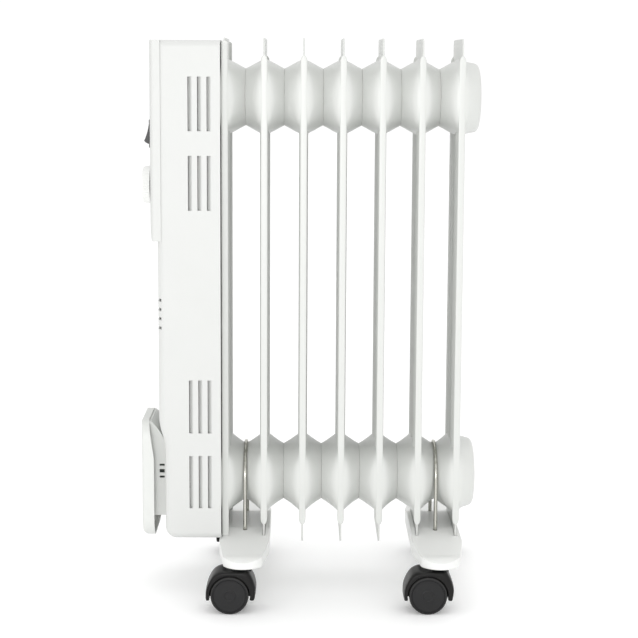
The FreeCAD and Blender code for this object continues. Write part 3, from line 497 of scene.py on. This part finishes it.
def sheet_height(y, z):
    """How far a sheet's outer face stands from the fin's middle plane."""
    rise = np.full_like(y, sheet)
    fade = np.clip(np.minimum(z - header_low, header_high - z) / channel_fade + 1, 0, 1)
    for centre in (-channel_spacing, 0.0, channel_spacing):
        t = np.clip(np.abs(y - centre) / channel_half, 0, 1)
        rise += channel_rise * np.cos(t * np.pi / 2) ** 1.4 * fade
    inset = np.minimum(fin_half - np.abs(y), np.minimum(z - fin_low, fin_high - z))
    rise -= weld_depth * np.exp(-(((inset - weld_inset) / weld_width) ** 2))
    return rise


def sheet_table(side):
    border = np.array([0, 0.12, 0.35, 0.65, 1.0, 1.8, 2.8, 3.8, 4.6, 5.5, 6.4, 7.4, 8.8]) * mm
    inner = np.linspace(-fin_half + 10.4 * mm, fin_half - 10.4 * mm, 48)
    ends = np.concatenate([border, np.array([10.5, 13, 16]) * mm])
    z = np.concatenate([fin_low + ends, np.linspace(fin_low + 0.03, fin_high - 0.03, 14),
                        (fin_high - ends)[::-1]])
    corner = 8 * mm
    reach = np.minimum(np.minimum(z - fin_low, fin_high - z), corner)
    half = fin_half - (corner - np.sqrt(np.maximum(corner**2 - (corner - reach) ** 2, 0)))
    columns = ([-(half - d) for d in border] + [value * half / fin_half for value in inner]
               + [half - d for d in border[::-1]])
    y = np.array(columns).T
    zz = np.repeat(z[:, None], y.shape[1], 1)
    height = sheet_height(y, zz)
    inset = np.minimum(half[:, None] - np.abs(y), np.minimum(zz - fin_low, fin_high - zz))
    rounding = np.sqrt(1 - (1 - np.clip(inset / sheet, 0, 1)) ** 2)
    return np.stack([side * height * rounding, y, zz], -1)


print("sheet table", sheet_table(1).shape)

# %% A smooth curve through keys
def smooth_between(keys, i, t):
    """A point a share t of the way from key i to the next, on a smooth curve through the keys."""
    p0, p1, p2, p3 = (keys[min(max(i + k, 0), len(keys) - 1)] for k in (-1, 0, 1, 2))
    m1, m2 = (p2 - p0) / 2, (p3 - p1) / 2
    return ((2 * t**3 - 3 * t**2 + 1) * p1 + (t**3 - 2 * t**2 + t) * m1
            + (3 * t**2 - 2 * t**3) * p2 + (t**3 - t**2) * m2)


print("half way between 0 and 1:", smooth_between(np.array([0.0, 0.0, 1.0, 1.0]), 1, 0.5))

# %% Dishes as rings round the header
NECK = np.array([  # rise, half length, half height, end wall, in millimetres
    (0.6, 92.0, 43.6, 49.92), (0.95, 88.0, 42.0, 49.92), (1.7, 84.5, 40.9, 49.9),
    (3.2, 78.0, 40.0, 49.8), (6.0, 66.5, 38.7, 49.4), (9.0, 56.0, 37.2, 48.4),
    (12.5, 46.5, 35.3, 46.6), (16.0, 39.2, 33.3, 44.5), (19.4, 33.4, 31.6, 42.0),
    (20.5, 31.6, 31.0, 41.0), (20.85, 31.0, 30.6, 40.5), (21.0, 30.2, 30.0, 40.0),
    (21.0, 27.0, 27.0, 38.0), (12.0, 26.5, 26.5, 38.0)])
BLIND = np.array([
    (0.6, 92.0, 43.6, 49.92), (0.95, 88.0, 42.0, 49.92), (1.7, 84.5, 40.9, 49.9),
    (3.2, 78.0, 40.4, 49.8), (6.0, 66.5, 39.5, 49.4), (9.0, 56.0, 38.8, 48.8),
    (12.5, 49.5, 38.2, 48.0), (16.0, 44.8, 37.6, 46.5), (18.6, 41.6, 36.8, 45.0),
    (20.4, 38.2, 35.3, 43.5), (21.6, 34.6, 33.0, 42.0), (22.3, 30.2, 29.4, 41.0),
    (22.5, 25.0, 24.4, 40.0), (22.5, 12.0, 12.0, 30.0), (22.5, 0.3, 0.3, 1.0)])
ROUND = 96              # points round a dish
WALL_SHARPNESS = 11     # the higher, the sharper the bend where a dish meets its end wall
FURTHEST = 22.5 * mm    # no ring stands out further than a blind dish's flat face


def smooth_keys(keys, steps):
    """More rings between the key rings, on a smooth curve through them."""
    rings = [smooth_between(keys, i, s / steps) for i in range(len(keys) - 1)
             for s in range(steps)]
    return np.array(rings + [keys[-1]]) * mm


def dish_table(keys, side, height):
    """Rings whose outline is an ellipse softly cut by two end walls."""
    rings = smooth_keys(keys, 3)
    angle = np.linspace(0, 2 * np.pi, ROUND, endpoint=False)
    c, s = np.cos(angle), np.sin(angle)
    rows = []
    for rise, a, b, wall in rings:
        ellipse = 1 / np.sqrt((c / a) ** 2 + (s / b) ** 2)
        radius = ((1 / ellipse) ** WALL_SHARPNESS
                  + (np.abs(c) / wall) ** WALL_SHARPNESS) ** (-1 / WALL_SHARPNESS)
        rows.append(np.stack([np.full(ROUND, side * min(rise, FURTHEST)),
                              radius * c, height + radius * s], -1))
    return np.array(rows)


print("rings per dish", len(smooth_keys(NECK, 3)))

# %% Flange strips
flange_half, flange_depth = 3.6 * mm, 1.5 * mm
flange_square = 0.45            # the lower, the squarer the strip's section


def flange_table(side, low, high, taper):
    """A rounded strip along one side edge; its ends narrow over a length of taper."""
    near = np.linspace(0, 1, 9) ** 1.6 * taper
    z = np.concatenate([low + near, np.linspace(low + taper, high - taper, 24)[1:-1],
                        (high - near)[::-1]])
    end = np.clip(np.minimum(z - low, high - z) / taper, 0, 1)
    width = flange_half * np.sqrt(1 - (1 - end) ** 2) ** 0.9 + 0.02 * mm
    theta = np.linspace(0, np.pi, 19)
    rows = []
    for zi, w in zip(z, width):
        x = w * np.sign(np.cos(theta)) * np.abs(np.cos(theta)) ** flange_square
        y = fin_half - flange_depth * (1 - np.sin(theta) ** flange_square)
        rows.append(np.stack([x, side * y, np.full_like(x, zi)], -1))
    return np.array(rows)


print("flange", 2 * flange_half, "m wide")

# %% Assemble three kinds of fin
def fin_mesh(name, front, rear, flange_low=20.5 * mm, flange_high=18.3 * mm, taper=7 * mm):
    shape = Pattern()
    for side, keys in ((-1, front), (1, rear)):
        shape.table(sheet_table(side), flip=side < 0)
        for height in (header_low, header_high):
            shape.table(dish_table(keys, side, height), closed=True, flip=side < 0)
    for side in (-1, 1):
        strip = flange_table(side, fin_low + flange_low, fin_high - flange_high, taper)
        shape.table(strip, closed=True, flip=side < 0, caps=True)
    return shape.mesh(name, 50)


first_fin = fin_mesh("fin_first", BLIND, NECK, 3 * mm, 3 * mm, 2.6 * mm)
middle_fin = fin_mesh("fin_middle", NECK, NECK)
last_fin = fin_mesh("fin_last", NECK, BLIND)
for number, x in enumerate(fin_middles, 1):
    mesh = first_fin if number == 1 else last_fin if number == 7 else middle_fin
    piece(f"pressed_fin_{number}", mesh, enamel, "heater", [f"fin_{number}"],
          (x, 0, 0))
print("fin points", len(middle_fin.vertices))

# %% [markdown]
# ## U-bolts
#
# At each foot a zinc plated wire loops over the lower header and holds the foot up.  A curve
# with a round bevel would do for the wire, but the rolled thread at the ends is a change of
# thickness along it, so the tube is swept here ring by ring and the thread is a ripple in the
# ring's radius.

# %% U-bolts
wire = 2.0 * mm
thread_length, thread_step = 16 * mm, 0.2 * mm
thread_pitch, thread_depth, thread_tip = 0.8 * mm, 0.26 * mm, 2.4 * mm
leg_reach = (bolt_high.y - bolt_low.y) / 2 - wire
bend_height = bolt_high.z - wire - leg_reach


def ubolt_table(x):
    thread_top = bolt_low.z + thread_length
    legs = np.concatenate([np.arange(bolt_low.z, thread_top, thread_step),
                           np.linspace(thread_top, bend_height, 12)])
    points = [(-leg_reach, z, 0.0, 1.0) for z in legs]
    for t in np.linspace(0, np.pi, 49)[1:-1]:
        points.append((-leg_reach * np.cos(t), bend_height + leg_reach * np.sin(t),
                       np.sin(t), np.cos(t)))
    points += [(leg_reach, z, 0.0, -1.0) for z in legs[::-1]]
    around = np.linspace(0, 2 * np.pi, 18, endpoint=False)
    rows = []
    for y, z, along_y, along_z in points:
        radius = wire
        if z < thread_top and abs(along_y) < 1e-9:
            radius -= thread_depth * (0.5 + 0.5 * math.cos(2 * math.pi * z / thread_pitch))
            radius = min(radius, wire * (0.7 + (z - bolt_low.z) / thread_tip))
        rows.append([(x + radius * math.sin(a), y + radius * math.cos(a) * along_z,
                      z - radius * math.cos(a) * along_y) for a in around])
    return np.array(rows)


bolts = Pattern()
for x in ((fin_middles[0] + fin_middles[1]) / 2, (fin_middles[5] + fin_middles[6]) / 2):
    bolts.table(ubolt_table(x), closed=True, caps=True)
piece("plated_u_bolts", bolts.mesh("plated_u_bolts", 60), zinc, "heater",
      ["u_bolts"])
print("U-bolt top", round(bolt_high.z, 4))

# %% [markdown]
# ## Casters
#
# A caster here is a nylon hood over two plain wheels, hung off centre from a plug-in stem so
# that it trails.  The hood's outline is a swept back, a flat brow under the foot and a short
# nose.  It is drawn once, then swept across the hood's width with generously rounded shoulders,
# and a thin web between the wheels carries the axle.  A wheel is a turned profile.

# %% Caster hood
caster_names = [f"caster_{end}_{hand}" for end in ("front", "rear") for hand in ("right", "left")]
wheel_low, wheel_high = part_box("caster_front_right_wheel_outer")
wheel_radius = (wheel_high.z - wheel_low.z) / 2
hood_low, hood_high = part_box("caster_front_right_hood")
hood_half = (hood_high.y - hood_low.y) / 2


def soft_curve(points, count):
    """Evenly spread points on a smooth curve through some points."""
    keys = np.array(points, float)
    fine = np.array([smooth_between(keys, i, t) for i in range(len(keys) - 1)
                     for t in np.linspace(0, 1, 24, endpoint=False)] + [keys[-1]])
    run = np.concatenate([[0], np.cumsum(np.linalg.norm(np.diff(fine, axis=0), axis=1))])
    at = np.linspace(0, run[-1], count)
    return np.stack([np.interp(at, run, fine[:, k]) for k in range(2)], -1)


lip = hood_low.z - wheel_radius
hood_clearance = 2.4 * mm       # crest to the foot's underside
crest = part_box("foot_front")[0].z - hood_clearance - wheel_radius
outline = soft_curve(
    [(-25.6 * mm, lip), (-25.2 * mm, 0.2 * crest), (-22.4 * mm, 0.52 * crest),
     (-17.6 * mm, 0.81 * crest), (-11.0 * mm, 0.965 * crest), (-3 * mm, 0.99 * crest),
     (8 * mm, 0.99 * crest), (18.5 * mm, 0.985 * crest), (22.6 * mm, 0.82 * crest),
     (26.3 * mm, 0.5 * crest), (27.8 * mm, 0.2 * crest), (26.6 * mm, lip)], 72)
print("hood half width", round(hood_half, 4), "crest", round(crest, 4))


# %% Caster hood mesh
wheel_room = 1.5 * mm           # wheel to hood
web_half, web_share = 2.4 * mm, 0.97
trail = 13.5 * mm               # stem to axle


def hood_mesh():
    inner_radius = wheel_radius + wheel_room
    reach = math.sqrt(max(inner_radius**2 - lip**2, 0))
    sweep = np.linspace(math.atan2(lip, -reach) + 2 * math.pi, math.atan2(lip, reach),
                        len(outline))
    inner = np.stack([inner_radius * np.cos(sweep), inner_radius * np.sin(sweep)], -1)
    lanes = [(0.0, 1.0), (0.35, 1.0), (0.62, 0.985), (0.8, 0.945), (0.92, 0.86), (0.98, 0.74),
             (1.0, 0.55), (1.0, 0.35), (1.0, 0.0)]
    rows = []
    for p, q in zip(outline, inner):
        lane = [(q + (p - q) * out, side) for side, out in lanes]
        loop = [(*point, side * hood_half) for point, side in lane]
        loop += [(*point, -side * hood_half) for point, side in lane[:0:-1]]
        rows.append([(x, y, z) for x, z, y in loop])
    table = np.array(rows)
    for end, near in ((0, 1), (-1, -2)):
        middle = table[end].mean(0)
        table[end] = middle + (table[end] - middle) * (0.7, 1.0, 0.7)
    shape = Pattern()
    shape.table(table, closed=True, flip=True, caps=True)
    web = np.array([[(x * web_share, y, z * web_share) for x, z in outline]
                    for y in (-web_half, web_half)])
    shape.table(web, closed=True, flip=True, caps=True)
    base, top = crest / mm, (hood_high.z - wheel_radius) / mm
    neck_profile = [(9.5, base - 3), (8.3, base - 1.2), (7.6, base - 0.2), (7.5, top - 0.3),
                    (7.2, top), (0.4, top)]
    around = np.linspace(0, 2 * np.pi, 48, endpoint=False)
    neck = np.array([[(trail + r * mm * math.cos(a), r * mm * math.sin(a), h * mm)
                      for a in around] for r, h in neck_profile])
    shape.table(neck, closed=True)
    return shape.mesh("caster_hood", 48)


hood = hood_mesh()
print("hood points", len(hood.vertices))

# %% Wheels and all the casters
def turned(profile, name):
    """A profile of (radius, place along Y) turned round Y."""
    around = np.linspace(0, 2 * np.pi, 96, endpoint=False)
    table = np.array([[(r * math.cos(a), h, r * math.sin(a)) for a in around] for r, h in profile])
    shape = Pattern()
    shape.table(table * mm, closed=True, flip=True)
    return shape.mesh(name, 32)


tread = wheel_radius / mm
WHEEL = [(0.02, 16.3), (4.4, 16.3), (4.9, 16.7), (5.6, 16.9), (6.3, 16.7), (6.8, 16.35),
         (14.0, 16.2), (16.3, 16.25), (16.8, 16.3), (17.0, 16.0), (17.15, 15.9), (17.7, 15.9),
         (17.85, 16.0), (18.0, 16.7), (18.3, 16.95), (18.9, 17.0), (tread - 0.7, 16.8),
         (tread - 0.2, 16.2), (tread, 15.4), (tread, 10.0), (tread, 4.4), (tread - 0.2, 3.6),
         (tread - 0.8, 3.1), (18.6, 3.0), (17.6, 3.0), (17.2, 3.4), (16.8, 4.6), (6.2, 4.6),
         (5.8, 3.4), (5.4, 3.0), (2.56, 3.0), (2.56, 14.5), (0.02, 14.5)]
wheel_finish = wheel_nylon(wheel_radius)
wheel_right = turned([(r, -h) for r, h in WHEEL][::-1], "caster_wheel_right")
wheel_left = turned(WHEEL, "caster_wheel_left")
for name in caster_names:
    a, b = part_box(f"{name}_wheel_outer")
    c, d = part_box(f"{name}_wheel_inner")
    middle = ((a.x + b.x) / 2, (min(a.y, c.y) + max(b.y, d.y)) / 2, wheel_radius)
    stem_low, stem_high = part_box(f"{name}_stem")
    turn = math.pi if middle[0] > (stem_low.x + stem_high.x) / 2 else 0.0
    piece(f"{name}_cover", hood, hood_black, name, [f"{name}_hood"], middle,
          turn)
    for part, low, high in (("outer", a, b), ("inner", c, d)):
        on_left = (low.y + high.y) / 2 > middle[1]
        piece(f"{name}_roller_{part}", wheel_left if on_left else wheel_right, wheel_finish,
              f"{name}_wheel_{part}", [f"{name}_wheel_{part}"], middle)
print("casters", len(caster_names))

# %% [markdown]
# ## Thermostat knob
#
# The knob is a shallow cup with a finely ribbed rim for grip and a pointer pressed into its
# face.  A turned profile gives the cup.  The ribs are a ripple on the radius of the rim only,
# and the pointer is a narrow raised bar, so nothing needs a boolean.

# %% Knob
knob_low, knob_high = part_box("thermostat_knob")
knob_middle = Vector((0, 0, (knob_low.z + knob_high.z) / 2))
knob_radius = (knob_high.z - knob_low.z) / 2
rib_count, rib_depth = 54, 0.75  # depth in millimetres


def knob_mesh():
    front, back = knob_low.x / mm, knob_high.x / mm
    rim = knob_radius / mm
    profile = [(0.05, front + 0.75, 0), (6.0, front + 0.7, 0), (12.0, front + 0.5, 0),
               (15.6, front + 0.18, 0), (17.2, front, 0), (18.2, front + 0.06, 0),
               (19.0, front + 0.4, 0), (19.45, front + 1.0, 0.25), (19.75, front + 1.7, 0.8),
               (20.0, front + 2.6, 1), (rim, back - 1.4, 1), (rim, back - 0.5, 0.6),
               (rim - 0.2, back - 0.1, 0), (rim - 0.6, back, 0), (18.6, back, 0),
               (18.4, front + 2.2, 0), (6.0, front + 2.0, 0), (6.0, back - 1.5, 0),
               (3.4, back - 1.5, 0), (3.4, front + 3, 0), (0.05, front + 3, 0)]
    count = 8 * rib_count
    around = np.linspace(0, 2 * np.pi, count, endpoint=False)
    ripple = 0.5 - 0.5 * np.cos(around * rib_count)
    rows = []
    for radius, x, grip in profile:
        r = radius - grip * rib_depth * (1 - ripple**0.6)
        rows.append(np.stack([np.full(count, x), r * np.sin(around), r * np.cos(around)], -1))
    shape = Pattern()
    shape.table(np.array(rows) * mm + np.array(knob_middle), closed=True, flip=True)
    bar = []
    for y, h in ((-0.85, 0.95), (-0.75, 0.35), (-0.45, 0.1), (0.45, 0.1), (0.75, 0.35),
                 (0.85, 0.95)):
        bar.append([(front + h + 0.5 * taper, y * (1 - 0.5 * taper), z)
                    for z, taper in ((6.4, 1), (7.2, 0), (12.0, 0), (16.2, 0), (17.0, 1))])
    shape.table(np.array(bar) * mm + np.array(knob_middle))
    return shape.mesh("grip_knob", 40)


piece("grip_knob", knob_mesh(), knob_white_painted_light, "knob", ["thermostat_knob"])
print("knob radius", round(knob_radius, 4))

# %% [markdown]
# ## Printed scale and switch marks
#
# Round the knob the panel carries a plain printed scale: ticks that grow with the heat, and no
# lettering.  Each rocker has the usual line and ring for on and off.  Printed marks could be a
# texture, but small raised slips stay sharp from any distance and survive an export.

# %% Scale ticks
panel_low, panel_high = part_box("control_panel")
panel_face = panel_low.x
panel_half = panel_high.y
panel_crown = 5.5 * mm          # middle of the panel stands out this far past its sides
arch = (panel_half**2 + panel_crown**2) / (2 * panel_crown)


def slip(shape, outline_points, lift):
    """A thin flat mark on the panel's face, from points (across, up) round it."""
    ring = [(panel_face + (y * y) / (2 * arch) - lift, y, z) for y, z in outline_points]
    base = [(x + 2 * lift, y, z) for x, y, z in ring]
    shape.table(np.array([base, ring]), closed=True, caps=True)


tick_count, first_turn, turn_step = 11, -135, 27
tick_lift = 0.04 * mm
scale = Pattern()
for k in range(tick_count):
    turn = math.radians(first_turn + turn_step * k)
    out = Vector((0, -math.sin(turn), math.cos(turn)))
    across = Vector((0, math.cos(turn), math.sin(turn)))
    half_width = (0.35 + 0.07 * k) * mm
    near, far = 23.0 * mm, (25.2 + 0.28 * k) * mm
    corners = [knob_middle + out * r + across * w
               for r, w in ((near, -half_width), (far, -half_width), (far, half_width),
                            (near, half_width))]
    slip(scale, [(p.y, p.z) for p in corners], tick_lift)
piece("heat_scale", scale.mesh("heat_scale", 30), mark_grey, "heater")
print("scale marks", tick_count)

# %% Line and ring on the rockers
rocker_tilt = math.radians(15.1)
# In millimetres: pivot to face, depth of its hollow, half its height, pivot to a mark's middle.
rocker_face, rocker_hollow, rocker_half, mark_height = 8.37, 0.9, 10.6, 6.2
for hand in ("right", "left"):
    pivot = next(Vector(joint["pos_m"]) for joint in frame["joints"]
                 if joint["child"] == f"rocker_{hand}")
    lean = Matrix.Translation(pivot) @ Matrix.Rotation(rocker_tilt, 4, "Y")
    marks = Pattern()
    for up, kind in ((mark_height, "ring"), (-mark_height, "line")):
        if kind == "line":
            border = ((-0.3, -1.8), (0.3, -1.8), (0.3, 1.8), (-0.3, 1.8))
            loops = [[(sink, a, up + b) for a, b in border] for sink in (0.0, 0.4)]
        else:
            turns = np.linspace(0, 2 * np.pi, 32, endpoint=False)
            loops = [[(sink, r * math.cos(a), up + r * math.sin(a)) for a in turns]
                     for r, sink in ((1.3, 0.4), (1.35, 0.0), (1.85, 0.0), (1.9, 0.4))]
        table = np.array(loops)
        table[..., 0] -= rocker_face + rocker_hollow * (table[..., 2] / rocker_half) ** 2
        table = table * mm
        flat = [lean @ Vector(p) for p in table.reshape(-1, 3)]
        marks.table(np.array(flat).reshape(table.shape), closed=True, caps=kind == "line",
                    flip=kind == "line")
    piece(f"rocker_marks_{hand}", marks.mesh(f"rocker_marks_{hand}", 30), mark_white,
          f"rocker_{hand}")
print("rocker marks on", [round(v, 4) for v in pivot])

# %% [markdown]
# ## Louvre lips
#
# A slanted slat leans inwards behind each upright slot of the housing, and its far edge ends in
# a thin rolled lip, so that only a fine line of dark shows beside it.  The mechanical model has
# the slats.  A bevel would round all of their edges alike, so each lip is a slim oval bar of its
# own, swept straight up along the slat.

# %% Lips along the louvre slats
housing_low, housing_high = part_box("housing")
slot_rows = [(housing_high.z - a * mm, housing_high.z - b * mm)
             for a, b in ((95.0, 38.0), (179.0, 121.0))]
slot_rows += [(housing_low.z + a * mm, housing_low.z + b * mm)
              for a, b in ((117.4, 175.4), (34.4, 92.4))]
slot_columns = (16.0, 26.0, 36.0)               # in front of the first fin
lip_offset, lip_sink, lip_overlap = 1.3, 3.9 * mm, 0.3 * mm
lip_half_wide, lip_half_deep = 0.45 * mm, 0.4 * mm
turns = np.linspace(0, 2 * np.pi, 12, endpoint=False)
lips = Pattern()
for low, high in slot_rows:
    for column in slot_columns:
        x = fin_middles[0] - (column + lip_offset) * mm
        for side in (-1, 1):
            y = side * (housing_high.y - lip_sink)
            oval = [(x + lip_half_wide * math.cos(t), y + lip_half_deep * math.sin(t))
                    for t in turns]
            lips.table(np.array([[(*point, z) for point in oval]
                                 for z in (low - lip_overlap, high + lip_overlap)]),
                       closed=True, caps=True)
piece("louvre_lips", lips.mesh("louvre_lips", 40), shell_white, "heater")
print("louvre lips", 2 * len(slot_columns) * len(slot_rows))

# %% [markdown]
# ## Pieces that keep their mechanical shape
#
# The housing, panel, winder, feet, switches and small hardware already have their true form, so
# they stay and only get a finish.  One function from a node's name to its finish keeps that
# readable.

# %% Finishes on the carried pieces
winder_low, winder_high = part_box("cord_winder")
slot_long = 9 * mm
slots_inner, slots_outer = 28.8 * mm, 32.8 * mm     # across, from the middle
slots_foot, slots_head = 64 * mm, 82 * mm           # above the winder's lower edge
# The winder's cord slots are cut in the mechanical model; its finish paints shade inside them.
winder_white_painted_light_and_shade = winder_plastic_painted_light_and_shade(
    (-winder_high.x, slots_inner, winder_low.z + slots_foot),
    (-winder_high.x + slot_long, slots_outer, winder_low.z + slots_head))


def carried(name):
    if name == "cord_winder":
        return winder_white_painted_light_and_shade
    if name in ("housing", "control_panel"):
        return shell_white
    if name.startswith("foot_"):
        return foot_white_painted_light
    if name == "back_plate":
        return enamel
    if name.startswith("rocker_"):
        return switch_black
    if name.startswith(("switch_case", "terminal", "cord_gland")) or name == "thermostat":
        return case_black
    if name.startswith("heating_tube") or name in ("element_pins", "element_bushing"):
        return tube_steel
    return {"element_plug": turned_brass, "element_gasket": red_fibre,
            "element_beads": bare_ceramic}.get(name, screw_zinc)


for name, thing in frame["nodes"].items():
    if not thing.hide_render:
        thing.data.materials.clear()
        thing.data.materials.append(carried(name))
print("carried pieces", sum(not o.hide_render for o in frame["nodes"].values()))

# %% [markdown]
# ## Floor
#
# The floor is one large pale sheet, lit faintly from inside like a light table.  It catches a
# soft shade under the casters, which is enough to put the heater on the ground, and the glow
# keeps that shade pale.

# %% Floor
floor_finish = moulding("pale_floor", (0.95, 0.95, 0.95), (0.97, 0.97, 0.97), (0.7, 0.8), 0.05,
                        0.00002, 0.0, Emission_Color=(1.0, 1.0, 1.0, 1.0),
                        Emission_Strength=0.1)
floor_mesh = bpy.data.meshes.new("studio_floor")
reach = 12.0
floor_mesh.from_pydata([(-reach, -reach, 0), (reach, -reach, 0), (reach, reach, 0),
                        (-reach, reach, 0)], [], [(0, 1, 2, 3)])
floor_mesh.materials.append(floor_finish)
floor = bpy.data.objects.new("studio_floor", floor_mesh)
bpy.context.scene.collection.objects.link(floor)
floor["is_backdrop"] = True
print("floor", reach * 2, "m")

# %% Sizes for the record, and the last line
low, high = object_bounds()
print("visual box", [round(v, 4) for v in (*low, *high)])
